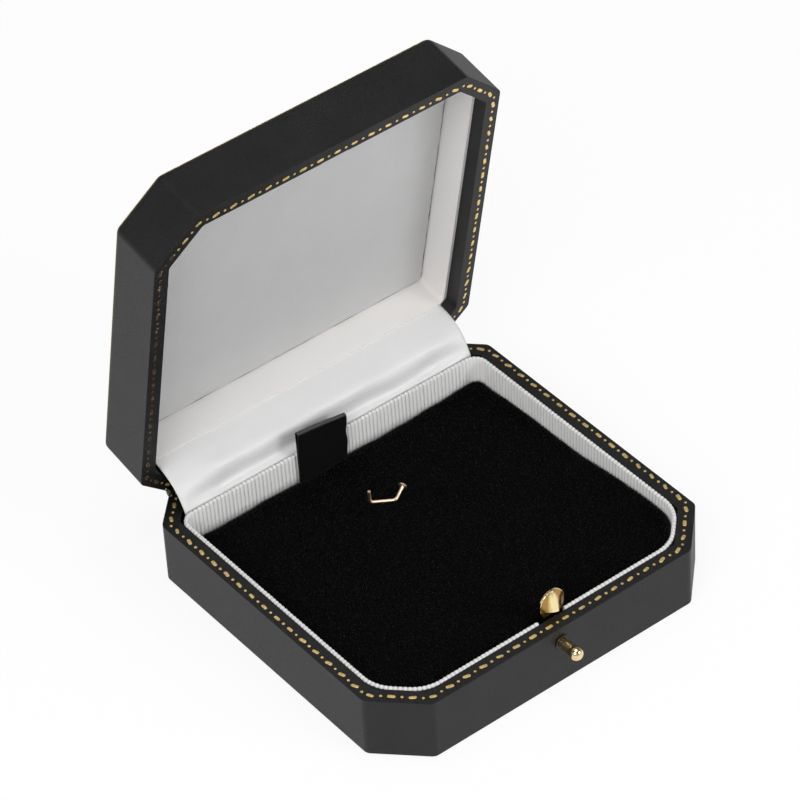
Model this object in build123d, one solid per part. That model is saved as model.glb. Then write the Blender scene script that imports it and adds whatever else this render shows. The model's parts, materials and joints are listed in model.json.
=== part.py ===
"""Pendant box: an eight-sided clamshell case in leatherette, with a sloped velvet pad, a ribbed
satin trim, a padded satin lid lining, a knuckled hinge under a satin gusset, and a push-button catch.

Frame, in millimetres: origin at the centre of the base's underside, +X to the right, -Y towards
the catch, +Z up. The lid is stored open, and its pieces are modelled closed and then turned.
"""
import os
from math import sqrt, radians, pi, sin, cos
from build123d import *

# Outer form
WIDTH = 86.0
DEPTH = 86.0
CORNER_LEG = 9.7
EDGE_RADIUS = 2.0
BASE_HEIGHT = 15.0
LID_HEIGHT = 13.4
RIM_GAP = 0.2
RIM_WIDTH = 3.5
LID_TOP_RADIUS = 1.6
BASE_FOOT_BEVEL = 0.35
LID_OPEN_ANGLE = 78.0

# Skins, shells and sheets
WRAP = 0.4
SHEET = 0.45
TURN_UNDER = 0.3
TURN_UNDER_WIDTH = 2.0
SHEET_MARGIN = 0.1
BASE_FLOOR = 1.55
LID_PLATE = 0.9
TURN_IN_DEPTH = 4.5
INNER_CORNER_RADIUS = 1.2

# Hinge: the pin's axis lies along X, inside the back walls' edges
HINGE_INSET = 2.4
HINGE_DROP = 0.4
KNUCKLE_RADIUS = 1.1
HINGE_MARGIN = 7.0
KNUCKLE_COUNT = 7
KNUCKLE_GAP = 0.2
PIN_RADIUS = 0.5
PIN_FIT = 0.02
PIN_RUNNING_FIT = 0.06
HINGE_GROOVE = 0.3
LEAF = 0.5
LEAF_HEIGHT = 5.6
RIVET_COUNT = 3
RIVET_MARGIN = 12.0
RIVET_RADIUS = 0.5
RIVET_HEAD_RADIUS = 1.0
RIVET_HEAD = 0.35
CLAMP_RIVET_HEAD_RADIUS = 0.8
BRAD_RADIUS = 0.35
RIVET_FIT = 0.03
RIVET_DEPTH = 1.6
RIVET_SIDES = 12

# Lined well of the base
COLLAR = 0.55
COLLAR_FIT = 0.1
HINGE_CHANNEL = 10.15
WELL_FRONT_RADIUS = 6.0
WELL_BACK_RADIUS = 3.4
TRIM = 0.55
TRIM_DEPTH = 9.0
BEAD_HEIGHT = 0.55
BEAD_RISE = 0.4
BEAD_BEVEL = 0.25
FLOOR_LINING = 0.4
RISER_WALL = 1.6

# Sloped pad
PAD_LEVEL = 10.9
PAD_SLOPE = 0.075
PAD_FIT = 0.3
PAD_BOARD = 1.2
PAD_FOAM = 2.6
VELVET = 0.5

# Ribbon tab, seen at the back of the pad
TAB_LEFT = -9.6
TAB_RIGHT = 2.9
TAB_TOP = 21.4
TAB_THICKNESS = 0.7
TAB_FIT = 0.1
TAB_FOLD_RADIUS = 0.315

# Pendant hook: one bent wire with a domed end
HOOK_WIRE = 0.33
HOOK_X = -3.0
HOOK_SETBACK = 16.95
HOOK_RUN_X = 3.3
HOOK_RUN_Y = -2.5
HOOK_PRONG = 3.3
HOOK_ARM_X = 1.8
HOOK_ARM_Y = -1.3
HOOK_ARM_RISE = 3.6
HOOK_BEND = 0.9
HOOK_HEAD_RADIUS = 0.9
HOOK_SHANK = 2.2
HOOK_SIDES = 10

# Catch: a push button bears on a leaf tongue, whose beak hooks over a keeper in the lid
BUTTON_X = -0.7
BUTTON_Z = 11.2
BUTTON_BALL_RADIUS = 1.45
BUTTON_REACH = 4.4
BUTTON_STEM_RADIUS = 1.0
BUTTON_RUNNING_FIT = 0.08
BUSH_WALL = 0.6
BUSH_RISE = 0.2
BUTTON_HEAD_RADIUS = 1.4
BUTTON_TIP_RADIUS = 0.5
BUTTON_HEAD = 0.1
BUTTON_TIP = 0.15
BUTTON_HEAD_FIT = 0.08
CATCH_X = 0.4
TONGUE = 0.5
TONGUE_SETBACK = 0.45
TONGUE_WIDTH = 5.0
TONGUE_HEAD_WIDTH = 6.0
TONGUE_NECK_Z = 16.2
TONGUE_TOP_Z = 21.6
TONGUE_FOOT_Z = 2.7
BEAK_WIDTH = 5.8
BEAK_REACH = 1.15
BEAK_HEIGHT = 3.1
BEAK_Z = 17.2
SLOT_HALF_WIDTH = 4.3
SLOT_DEPTH = 3.0
CLAMP_WIDTH = 8.4
CLAMP_HEIGHT = 2.2
CLAMP_PLATE = 0.55
CLAMP_FIT = 0.2
KEEPER = 0.4
KEEPER_HALF_WIDTH = 4.6
KEEPER_WINDOW_HALF_WIDTH = 3.5
KEEPER_RISE = 0.7
KEEPER_BAR = 1.0
KEEPER_WINDOW = 4.7
KEEPER_HEAD_BAR = 1.1
KEEPER_POCKET = 1.3

# Lid lining
LID_LINING = 0.65
LID_LINING_FIT = 0.05
LID_CHANNEL = 9.6
LID_LINING_DEPTH = 3.4
LID_LINING_RADIUS = 1.0
PANEL_FIT = 0.1
PANEL_BOARD = 0.5
PANEL_FOAM = 0.75
PANEL_SATIN = 0.2

# Satin gusset over the hinge
GUSSET = 0.3
GUSSET_LEFT_MARGIN = 2.5
GUSSET_RIGHT_MARGIN = 1.9
GUSSET_BOW = 2.0
GUSSET_VALLEY = 0.5

# Levels and places worked out from the sizes above
HALF_X = WIDTH / 2
HALF_Y = DEPTH / 2
WELL_X = HALF_X - RIM_WIDTH
WELL_Y = HALF_Y - RIM_WIDTH
WELL_BACK = HALF_Y - HINGE_CHANNEL
LID_LINING_BACK = HALF_Y - LID_CHANNEL
HOOK_Y = WELL_BACK - HOOK_SETBACK
DIAGONAL_STEP = 2 - sqrt(2)
HINGE_Y = HALF_Y - HINGE_INSET
HINGE_Z = BASE_HEIGHT - HINGE_DROP
HINGE_GROOVE_RADIUS = KNUCKLE_RADIUS + HINGE_GROOVE
HINGE_LENGTH = WIDTH - 2 * HINGE_MARGIN
KNUCKLE_LENGTH = HINGE_LENGTH / KNUCKLE_COUNT
RIVET_PITCH = (HINGE_LENGTH - 2 * RIVET_MARGIN) / (RIVET_COUNT - 1)
LID_RIM = BASE_HEIGHT + RIM_GAP
LID_TOP = LID_RIM + LID_HEIGHT
LID_CEILING = LID_TOP - WRAP - LID_PLATE
SHELL_BOTTOM = SHEET
FLOOR = SHELL_BOTTOM + BASE_FLOOR
LEAF_BACK = HINGE_Y - KNUCKLE_RADIUS + LEAF
LEAF_FRONT = HINGE_Y - KNUCKLE_RADIUS
TRIM_INSET = COLLAR_FIT + COLLAR + TRIM
PAD_INSET = TRIM_INSET + PAD_FIT
PAD_THICKNESS = VELVET + PAD_FOAM + PAD_BOARD
TONGUE_FRONT = -WELL_Y + TONGUE_SETBACK
TONGUE_BACK = TONGUE_FRONT + TONGUE
SHELL_INSET = RIM_WIDTH - WRAP
BUSH_RADIUS = BUTTON_STEM_RADIUS + BUTTON_RUNNING_FIT + BUSH_WALL
LIMIT = 200.0


def block(outline, bottom, top):
    """Upright solid on an outline, between two levels."""
    return Pos(0, 0, bottom) * extrude(outline, top - bottom)


def box(x_low, x_high, y_low, y_high, z_low, z_high):
    """Box between six faces."""
    middle = Pos((x_low + x_high) / 2, (y_low + y_high) / 2, (z_low + z_high) / 2)
    return middle * Box(x_high - x_low, y_high - y_low, z_high - z_low)


def prism_x(points, x_low, x_high):
    """Solid along X on a (y, z) outline."""
    face = Plane.YZ * make_face(Polyline(*points, close=True))
    return Pos(x_low, 0, 0) * extrude(face, x_high - x_low)


def rod_x(x_low, x_high, y, z, radius):
    """Round rod along X."""
    return Pos((x_low + x_high) / 2, y, z) * Rot(0, 90, 0) * Cylinder(radius, x_high - x_low)


def rod_y(x, z, y_low, y_high, radius):
    """Round rod along Y."""
    return Pos(x, (y_low + y_high) / 2, z) * Rot(90, 0, 0) * Cylinder(radius, y_high - y_low)


def pin_y(x, z, y_low, y_high, radius):
    """Small pin or its hole along Y, many-sided so that it stays light."""
    plane = Plane(origin=(x, y_low, z), x_dir=(1, 0, 0), z_dir=(0, 1, 0))
    return extrude(plane * RegularPolygon(radius, RIVET_SIDES), y_high - y_low)


def opened(part):
    """A lid piece, turned from its closed place to its stored, open one."""
    return part.rotate(Axis((0, HINGE_Y, HINGE_Z), (-1, 0, 0)), LID_OPEN_ANGLE)


def octagon(inset, radius=0.0):
    """The case's eight-sided outline, moved inwards, with sharp or rounded corners."""
    x = HALF_X - inset
    y = HALF_Y - inset
    leg = CORNER_LEG - inset * DIAGONAL_STEP
    corners = [(x - leg, -y), (x, leg - y), (x, y - leg), (x - leg, y)]
    corners += [(leg - x, y), (-x, y - leg), (-x, leg - y), (leg - x, -y)]
    face = make_face(Polyline(*corners, close=True))
    return fillet(face.vertices(), radius) if radius else face


def well_outline(inset, back, front_radius, back_radius):
    """Outline of a lined well: eight-sided in front, with two close corners at the back."""
    x = WELL_X - inset
    y = WELL_Y - inset
    rear = back - inset
    leg = CORNER_LEG - (RIM_WIDTH + inset) * DIAGONAL_STEP
    corners = [(x - leg, -y), (x, leg - y), (x, rear), (-x, rear), (-x, leg - y), (leg - x, -y)]
    face = make_face(Polyline(*corners, close=True))
    ordered = face.vertices().sort_by(Axis.Y)
    front = fillet(ordered[:4], max(front_radius - inset, INNER_CORNER_RADIUS))
    return fillet(front.vertices().sort_by(Axis.Y)[-2:], max(back_radius - inset, INNER_CORNER_RADIUS))


def base_well(inset):
    """Outline of the base's well."""
    return well_outline(inset, WELL_BACK, WELL_FRONT_RADIUS, WELL_BACK_RADIUS)


def lid_well(inset):
    """Outline of the lid's lined well."""
    return well_outline(inset, LID_LINING_BACK, LID_LINING_RADIUS, LID_LINING_RADIUS)


def bevel(direction, step):
    """Wedge behind the hinge axis that lets the two back edges turn past each other.

    direction is -1 on the base and +1 on the lid; step moves the slope into the wall.
    """
    start = HINGE_Z + direction * step * sqrt(2)
    far = HINGE_Y + LIMIT
    points = [(HINGE_Y, start), (far, start + direction * LIMIT), (far, start - direction * LIMIT)]
    points.append((HINGE_Y, start - direction * LIMIT))
    return prism_x(points, -LIMIT, LIMIT)


def hinge_cut(direction, step):
    """All that a back wall loses to the hinge: bevel, knuckle groove and the leaf's rebate."""
    half = HINGE_LENGTH / 2 + PIN_FIT
    groove = rod_x(-WELL_X - WRAP, WELL_X + WRAP, HINGE_Y, HINGE_Z, HINGE_GROOVE_RADIUS)
    ends = sorted([HINGE_Z, HINGE_Z + direction * (LEAF_HEIGHT + PIN_FIT)])
    rebate = box(-half, half, LEAF_BACK - RIM_WIDTH, LEAF_BACK + PIN_FIT, ends[0], ends[1])
    return [bevel(direction, step), groove, rebate]


def base_shell():
    """Moulded tray: floor and walls, cut for the hinge, the button's bush and the rivets."""
    outer = block(octagon(WRAP), SHELL_BOTTOM, BASE_HEIGHT - WRAP)
    inner = block(octagon(SHELL_INSET, INNER_CORNER_RADIUS), FLOOR, BASE_HEIGHT)
    shell = outer - inner
    shell -= hinge_cut(-1, WRAP)
    shell -= rod_y(BUTTON_X, BUTTON_Z, -HALF_Y, -WELL_Y, BUSH_RADIUS)
    shell -= [rivet_hole(x, -1) for x in rivet_places()]
    return shell - [clamp_rivet(side, RIVET_FIT) for side in (-1, 1)]


def base_wrap():
    """Leatherette skin: outside walls, back bevel, rim and turn-in, with a turned-under edge."""
    outer = block(octagon(0, EDGE_RADIUS), SHEET - TURN_UNDER, BASE_HEIGHT)
    outer = chamfer(outer.edges().group_by(Axis.Z)[0], BASE_FOOT_BEVEL)
    core = block(octagon(WRAP), SHELL_BOTTOM, BASE_HEIGHT - WRAP)
    core -= bevel(-1, WRAP)
    behind = block(octagon(SHELL_INSET, INNER_CORNER_RADIUS), 0, BASE_HEIGHT - TURN_IN_DEPTH)
    turn_in = block(octagon(RIM_WIDTH, INNER_CORNER_RADIUS), BASE_HEIGHT - TURN_IN_DEPTH, BASE_HEIGHT)
    walls = core - block(octagon(SHELL_INSET, INNER_CORNER_RADIUS), 0, BASE_HEIGHT)
    skin = outer - walls - behind - turn_in
    skin -= block(octagon(TURN_UNDER_WIDTH, INNER_CORNER_RADIUS), 0, SHEET)
    skin -= hinge_cut(-1, 0)
    return skin - rod_y(BUTTON_X, BUTTON_Z, -HALF_Y, -WELL_Y, BUSH_RADIUS)


def base_sheet():
    """Paper sheet that closes the underside, and what the box rests on."""
    return block(octagon(TURN_UNDER_WIDTH + SHEET_MARGIN, INNER_CORNER_RADIUS), 0, SHEET)


def catch_slot(depth):
    """Gap in the front of the lining that leaves the catch's tongue free."""
    front = -WELL_Y - WRAP
    return box(CATCH_X - SLOT_HALF_WIDTH, CATCH_X + SLOT_HALF_WIDTH, front, front + depth, 0, LIMIT)


def liner_collar():
    """Card collar that stands on the floor and carries the trim, with a cross wall at the back."""
    section = base_well(COLLAR_FIT) - base_well(COLLAR_FIT + COLLAR)
    return block(section, FLOOR, BASE_HEIGHT + BEAD_RISE - BEAD_HEIGHT) - catch_slot(SLOT_DEPTH)


def liner_trim():
    """Satin trim: a skin on the collar's inner face and a rolled bead over its top edge."""
    top = BASE_HEIGHT + BEAD_RISE
    skin_face = base_well(COLLAR_FIT + COLLAR) - base_well(TRIM_INSET)
    skin = block(skin_face, BASE_HEIGHT - TRIM_DEPTH, top - BEAD_HEIGHT)
    bead = block(base_well(COLLAR_FIT) - base_well(TRIM_INSET), top - BEAD_HEIGHT, top)
    bead = chamfer(bead.edges().group_by(Axis.Z)[-1], BEAD_BEVEL)
    return skin + bead - catch_slot(SLOT_DEPTH)


def pad_surface(y, offset):
    """Level of the pad's sloped top at y, moved up or down by offset."""
    return PAD_LEVEL - PAD_SLOPE * y + offset


def pad_slab(inset, low, high):
    """Slab of the pad between two planes along its sloped top, on the well's outline."""
    front = -HALF_Y
    back = HALF_Y
    points = [(front, pad_surface(front, low)), (back, pad_surface(back, low))]
    points += [(back, pad_surface(back, high)), (front, pad_surface(front, high))]
    return block(base_well(inset), 0, LIMIT) & prism_x(points, -HALF_X, HALF_X)


def pad_notches(fit):
    """Cuts for the catch's tongue in front and for the ribbon behind."""
    left = TAB_LEFT - TAB_FIT + fit
    right = TAB_RIGHT + TAB_FIT - fit
    ribbon = box(left, right, tab_front() - TAB_FIT, HALF_Y, 0, LIMIT)
    return [catch_slot(SLOT_DEPTH - fit), ribbon]


def floor_lining():
    """Flocked paper on the floor of the well."""
    sheet = block(base_well(COLLAR_FIT + COLLAR + PAD_FIT), FLOOR, FLOOR + FLOOR_LINING)
    return sheet - catch_slot(SLOT_DEPTH)


def pad_riser():
    """Card frame with a sloped top edge, which holds the pad at its tilt."""
    inset = COLLAR_FIT + COLLAR + PAD_FIT
    frame = base_well(inset + PAD_FIT) - base_well(inset + PAD_FIT + RISER_WALL)
    ring = block(frame, FLOOR + FLOOR_LINING, BASE_HEIGHT)
    front = -HALF_Y
    back = HALF_Y
    above = [(front, pad_surface(front, -PAD_THICKNESS)), (back, pad_surface(back, -PAD_THICKNESS))]
    above += [(back, LIMIT), (front, LIMIT)]
    return ring - prism_x(above, -HALF_X, HALF_X) - catch_slot(SLOT_DEPTH + RISER_WALL)


def rivet_places():
    """X of each hinge rivet."""
    return [(i - (RIVET_COUNT - 1) / 2) * RIVET_PITCH for i in range(RIVET_COUNT)]


def rivet_level(direction):
    """Level of the rivets on the base's leaf (-1) or the closed lid's leaf (+1)."""
    return HINGE_Z + direction * (LEAF_HEIGHT + KNUCKLE_RADIUS) / 2


def rivet_hole(x, direction):
    """Hole for one hinge rivet."""
    back = LEAF_BACK + RIVET_DEPTH + RIVET_FIT
    return pin_y(x, rivet_level(direction), LEAF_FRONT - WRAP, back, RIVET_RADIUS + RIVET_FIT)


def hinge_rivets(direction):
    """Rivets that hold one leaf to its wall: low round heads and plain shanks."""
    rivets = []
    for x in rivet_places():
        level = rivet_level(direction)
        head = pin_y(x, level, LEAF_FRONT - RIVET_HEAD, LEAF_FRONT, RIVET_HEAD_RADIUS)
        rivets.append(head + pin_y(x, level, LEAF_FRONT, LEAF_BACK + RIVET_DEPTH, RIVET_RADIUS))
    return rivets


def knuckle_spans(first):
    """X spans of every second knuckle, from the first."""
    left = -HINGE_LENGTH / 2
    starts = [left + i * KNUCKLE_LENGTH for i in range(first, KNUCKLE_COUNT, 2)]
    return [(x + KNUCKLE_GAP / 2, x + KNUCKLE_LENGTH - KNUCKLE_GAP / 2) for x in starts]


def hinge_leaf(direction, first, pin_fit):
    """Brass leaf with rolled knuckles: direction -1 hangs below the axis, +1 stands above it."""
    half = HINGE_LENGTH / 2
    levels = sorted([HINGE_Z, HINGE_Z + direction * LEAF_HEIGHT])
    leaf = box(-half, half, LEAF_FRONT, LEAF_BACK, levels[0], levels[1])
    leaf -= rod_x(-half, half, HINGE_Y, HINGE_Z, HINGE_GROOVE_RADIUS)
    reach = sorted([HINGE_Z, HINGE_Z + direction * HINGE_GROOVE_RADIUS])
    for low, high in knuckle_spans(first):
        leaf += rod_x(low, high, HINGE_Y, HINGE_Z, KNUCKLE_RADIUS)
        leaf += box(low, high, LEAF_FRONT, LEAF_BACK, reach[0], reach[1])
    leaf -= rod_x(-half, half, HINGE_Y, HINGE_Z, PIN_RADIUS + pin_fit)
    return leaf - [rivet_hole(x, direction) for x in rivet_places()]


def hinge_pin():
    """Hinge pin, held in the base's knuckles."""
    return rod_x(-HINGE_LENGTH / 2, HINGE_LENGTH / 2, HINGE_Y, HINGE_Z, PIN_RADIUS)


def button_bush():
    """Brass bush in the front wall, which guides the button's stem."""
    tube = rod_y(BUTTON_X, BUTTON_Z, -HALF_Y - BUSH_RISE, -WELL_Y, BUSH_RADIUS - PIN_FIT)
    return tube - rod_y(BUTTON_X, BUTTON_Z, -HALF_Y * 2, HALF_Y, BUTTON_STEM_RADIUS + BUTTON_RUNNING_FIT)


def push_button():
    """Ball-ended push pin with a coned head inside that bears on the tongue."""
    head_front = -WELL_Y + BUTTON_HEAD_FIT
    head_back = head_front + BUTTON_HEAD
    ball_y = -HALF_Y - BUTTON_REACH
    stem = rod_y(BUTTON_X, BUTTON_Z, ball_y, head_back, BUTTON_STEM_RADIUS)
    head = rod_y(BUTTON_X, BUTTON_Z, head_front, head_back, BUTTON_HEAD_RADIUS)
    tip_place = Pos(BUTTON_X, head_back + BUTTON_TIP / 2, BUTTON_Z) * Rot(-90, 0, 0)
    tip = tip_place * Cone(BUTTON_HEAD_RADIUS, BUTTON_TIP_RADIUS, BUTTON_TIP)
    return stem + head + tip + Pos(BUTTON_X, ball_y, BUTTON_Z) * Sphere(BUTTON_BALL_RADIUS)


def tongue_outline():
    """Face of the tongue's strip, seen from the front: a straight leg and a wider, round-topped head."""
    half = TONGUE_WIDTH / 2
    head = TONGUE_HEAD_WIDTH / 2
    shoulder = TONGUE_TOP_Z - head
    right = [(half, TONGUE_FOOT_Z), (half, TONGUE_NECK_Z)]
    right += [(head, TONGUE_NECK_Z + head - half), (head, shoulder)]
    left = [(-x, z) for x, z in reversed(right)]
    crown = ThreePointArc((head, shoulder), (0, TONGUE_TOP_Z), (-head, shoulder))
    return make_face(Polyline(*right) + crown + Polyline(*left) + Line(left[-1], right[0]))


def catch_tongue():
    """Sprung brass tongue with a half-round beak that hooks outwards."""
    plane = Plane(origin=(CATCH_X, TONGUE_BACK, 0), x_dir=(1, 0, 0), z_dir=(0, -1, 0))
    strip = extrude(plane * tongue_outline(), TONGUE)
    dome = scale(Sphere(1), by=(BEAK_WIDTH / 2, BEAK_REACH, BEAK_HEIGHT))
    dome = Pos(CATCH_X, TONGUE_FRONT, BEAK_Z) * dome
    reach = TONGUE_FRONT - BEAK_REACH * 2
    keep = box(CATCH_X - BEAK_WIDTH, CATCH_X + BEAK_WIDTH, reach, TONGUE_FRONT, BEAK_Z, LIMIT)
    return strip + (dome & keep)


def clamp_rivet(side, fit):
    """Rivet through the catch's clamp, beside the tongue."""
    x = CATCH_X + side * (TONGUE_WIDTH + CLAMP_WIDTH) / 4
    z = FLOOR + CLAMP_HEIGHT / 2
    back = TONGUE_BACK + CLAMP_FIT + CLAMP_PLATE
    return pin_y(x, z, -WELL_Y - WRAP - RIVET_DEPTH, back, RIVET_RADIUS + fit)


def catch_clamp():
    """Two brass plates that hold the tongue's foot, on the front wall's inner face."""
    left = CATCH_X - CLAMP_WIDTH / 2
    right = CATCH_X + CLAMP_WIDTH / 2
    outer = box(left, right, -WELL_Y - WRAP, TONGUE_FRONT - CLAMP_FIT, FLOOR, FLOOR + CLAMP_HEIGHT)
    inner_front = TONGUE_BACK + CLAMP_FIT
    inner = box(left, right, inner_front, inner_front + CLAMP_PLATE, FLOOR, FLOOR + CLAMP_HEIGHT)
    gap = TONGUE_WIDTH / 2 + CLAMP_FIT
    sides = box(left, CATCH_X - gap, -WELL_Y - WRAP, inner_front, FLOOR, FLOOR + CLAMP_HEIGHT)
    sides += box(CATCH_X + gap, right, -WELL_Y - WRAP, inner_front, FLOOR, FLOOR + CLAMP_HEIGHT)
    return outer + inner + sides - [clamp_rivet(side, RIVET_FIT) for side in (-1, 1)]


def catch_rivets():
    """Rivets of the catch's clamp."""
    rivets = []
    back = TONGUE_BACK + CLAMP_FIT + CLAMP_PLATE
    for side in (-1, 1):
        x = CATCH_X + side * (TONGUE_WIDTH + CLAMP_WIDTH) / 4
        head = pin_y(x, FLOOR + CLAMP_HEIGHT / 2, back, back + RIVET_HEAD, CLAMP_RIVET_HEAD_RADIUS)
        rivets.append(clamp_rivet(side, 0) + head)
    return rivets


def keeper_levels():
    """Closed-lid levels of the keeper: bottom edge, window sill, window head, top edge."""
    bottom = LID_RIM + KEEPER_RISE
    sill = bottom + KEEPER_BAR
    head = sill + KEEPER_WINDOW
    return bottom, sill, head, head + KEEPER_HEAD_BAR


def catch_keeper():
    """Brass plate let into the lid's front wall, with the window that the beak enters."""
    bottom, sill, head, top = keeper_levels()
    left = CATCH_X - KEEPER_HALF_WIDTH
    right = CATCH_X + KEEPER_HALF_WIDTH
    plate = box(left, right, -WELL_Y - KEEPER, -WELL_Y, bottom, top)
    half = KEEPER_WINDOW_HALF_WIDTH
    plate -= box(CATCH_X - half, CATCH_X + half, -HALF_Y, -WELL_Y + KEEPER, sill, head)
    return opened(plate - [keeper_pin(side, RIVET_FIT) for side in (-1, 1)])


def keeper_pin(side, fit):
    """Brad through the keeper, beside its window."""
    x = CATCH_X + side * (KEEPER_HALF_WIDTH + KEEPER_WINDOW_HALF_WIDTH) / 2
    bottom, _, _, top = keeper_levels()
    front = -WELL_Y - WRAP - RIVET_DEPTH - fit
    return pin_y(x, (bottom + top) / 2, front, -WELL_Y + fit, BRAD_RADIUS + fit)


def lid_front_cut():
    """Pocket in the lid's front wall, behind the keeper's window, for the beak."""
    head = keeper_levels()[2]
    half = KEEPER_WINDOW_HALF_WIDTH
    return box(CATCH_X - half, CATCH_X + half, -WELL_Y - KEEPER_POCKET, -WELL_Y + WRAP, LID_RIM - WRAP, head)


def keeper_rebate():
    """Room for the keeper's plate in the turn-in."""
    bottom, _, _, top = keeper_levels()
    half = KEEPER_HALF_WIDTH + PIN_FIT
    return box(CATCH_X - half, CATCH_X + half, -WELL_Y - WRAP, -WELL_Y + WRAP, bottom - PIN_FIT, top + PIN_FIT)


def lid_core():
    """Solid that the lid's skin covers, with a bevel inside the skin's rounded top edge."""
    core = block(octagon(WRAP), LID_RIM + WRAP, LID_TOP - WRAP)
    return chamfer(core.edges().group_by(Axis.Z)[-1], (LID_TOP_RADIUS - WRAP) * DIAGONAL_STEP)


def lid_shell():
    """Moulded lid tray, cut for the hinge, the keeper's pocket and the rivets."""
    shell = lid_core() - block(octagon(SHELL_INSET, INNER_CORNER_RADIUS), LID_RIM, LID_CEILING)
    shell -= hinge_cut(1, WRAP)
    shell -= lid_front_cut()
    shell -= [rivet_hole(x, 1) for x in rivet_places()]
    return opened(shell - [keeper_pin(side, RIVET_FIT) for side in (-1, 1)])


def lid_wrap():
    """Leatherette skin of the lid: top, outside walls, back bevel, rim and turn-in."""
    outer = block(octagon(0, EDGE_RADIUS), LID_RIM, LID_TOP)
    outer = fillet(outer.edges().group_by(Axis.Z)[-1], LID_TOP_RADIUS)
    core = lid_core() - bevel(1, WRAP)
    walls = core - block(octagon(SHELL_INSET, INNER_CORNER_RADIUS), 0, LID_RIM + TURN_IN_DEPTH)
    turn_in = block(octagon(RIM_WIDTH, INNER_CORNER_RADIUS), 0, LID_RIM + TURN_IN_DEPTH)
    skin = outer - walls - turn_in - hinge_cut(1, 0)
    return opened(skin - keeper_rebate() - lid_front_cut())


def lid_wall_lining():
    """Satin-covered card round the lid's inner walls, with a cross wall over the hinge."""
    ring_face = lid_well(LID_LINING_FIT) - lid_well(LID_LINING_FIT + LID_LINING)
    ring = block(ring_face, LID_RIM + LID_LINING_DEPTH, LID_CEILING)
    _, _, _, top = keeper_levels()
    half = KEEPER_HALF_WIDTH + COLLAR_FIT
    window = box(CATCH_X - half, CATCH_X + half, -HALF_Y, -WELL_Y + RIM_WIDTH, 0, top + COLLAR_FIT)
    return opened(ring - window)


def panel_inset():
    """How far the lid's padded panel stands in from the wall."""
    return LID_LINING_FIT + LID_LINING + PANEL_FIT


def lid_panel_board():
    """Card of the lid's padded panel."""
    face = lid_well(panel_inset() + PANEL_SATIN)
    return opened(block(face, LID_CEILING - PANEL_BOARD, LID_CEILING))


def lid_panel_foam():
    """Thin foam of the lid's panel."""
    face = lid_well(panel_inset() + PANEL_SATIN)
    level = LID_CEILING - PANEL_BOARD
    return opened(block(face, level - PANEL_FOAM, level))


def lid_panel_satin():
    """Satin over the panel's foam and round its edges."""
    low = LID_CEILING - PANEL_BOARD - PANEL_FOAM - PANEL_SATIN
    cover = block(lid_well(panel_inset()), low, LID_CEILING)
    return opened(cover - block(lid_well(panel_inset() + PANEL_SATIN), low + PANEL_SATIN, LID_CEILING))


def pad_board():
    """Card under the pad's foam."""
    slab = pad_slab(PAD_INSET + VELVET, -PAD_THICKNESS, -PAD_THICKNESS + PAD_BOARD)
    return slab - pad_notches(-VELVET) - hook_shank(PIN_FIT)


def pad_foam():
    """Foam of the pad."""
    slab = pad_slab(PAD_INSET + VELVET, -PAD_THICKNESS + PAD_BOARD, -VELVET)
    return slab - pad_notches(-VELVET) - hook_shank(PIN_FIT)


def pad_velvet():
    """Velvet over the pad's top and sides."""
    cover = pad_slab(PAD_INSET, -PAD_THICKNESS, 0)
    cover = chamfer(cover.edges().group_by(Axis.Z)[-1], VELVET * DIAGONAL_STEP)
    inner = pad_slab(PAD_INSET + VELVET, -PAD_THICKNESS, -VELVET) - pad_notches(-VELVET)
    return cover - inner - pad_notches(0) - hook_shank(PIN_FIT)


def tab_front():
    """Front face of the ribbon, which passes behind the pad."""
    return WELL_BACK - PAD_INSET - TAB_THICKNESS + TAB_FIT


def ribbon_tab():
    """Folded ribbon that lifts the pad, glued to the back edge of its card."""
    front = tab_front()
    back = front + TAB_THICKNESS
    bottom = pad_surface(WELL_BACK, -PAD_THICKNESS) + PAD_BOARD / 2
    strip = box(TAB_LEFT, TAB_RIGHT, front, back, bottom, TAB_TOP)
    return fillet(strip.edges().filter_by(Axis.X).group_by(Axis.Z)[-1], TAB_FOLD_RADIUS)


def hook_corners():
    """Corners of the hook's wire: prong top, first corner, second corner and arm end."""
    level = pad_surface(HOOK_Y, HOOK_WIRE)
    end_y = HOOK_Y + HOOK_RUN_Y
    second = (HOOK_X + HOOK_RUN_X, end_y, pad_surface(end_y, HOOK_WIRE))
    arm = (second[0] + HOOK_ARM_X, second[1] + HOOK_ARM_Y, second[2] + HOOK_ARM_RISE)
    return (HOOK_X, HOOK_Y, level + HOOK_PRONG), (HOOK_X, HOOK_Y, level), second, arm


def hook_shank(fit):
    """Shank under the middle of the hook, through the velvet into the pad."""
    _, first, second, _ = hook_corners()
    middle = Vector((first[0] + second[0]) / 2, (first[1] + second[1]) / 2, (first[2] + second[2]) / 2)
    low = middle.Z - HOOK_SHANK - fit
    section = Pos(middle.X, middle.Y, low) * RegularPolygon(HOOK_WIRE + fit, HOOK_SIDES)
    return extrude(section, middle.Z - low)


def pendant_hook():
    """Gold wire hook: a plain prong, a run along the velvet and an arm with a domed end."""
    corners = hook_corners()
    path = FilletPolyline(*corners, radius=HOOK_BEND)
    start = Plane(origin=corners[0], z_dir=path % 0)
    wire = sweep(start * RegularPolygon(HOOK_WIRE, HOOK_SIDES), path=path)
    end = Plane(origin=corners[3], z_dir=path % 1)
    side = 2 * HOOK_HEAD_RADIUS
    dome = Sphere(HOOK_HEAD_RADIUS) & Pos(0, 0, HOOK_HEAD_RADIUS) * Box(side, side, side)
    return wire + end * dome + hook_shank(0)


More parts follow.
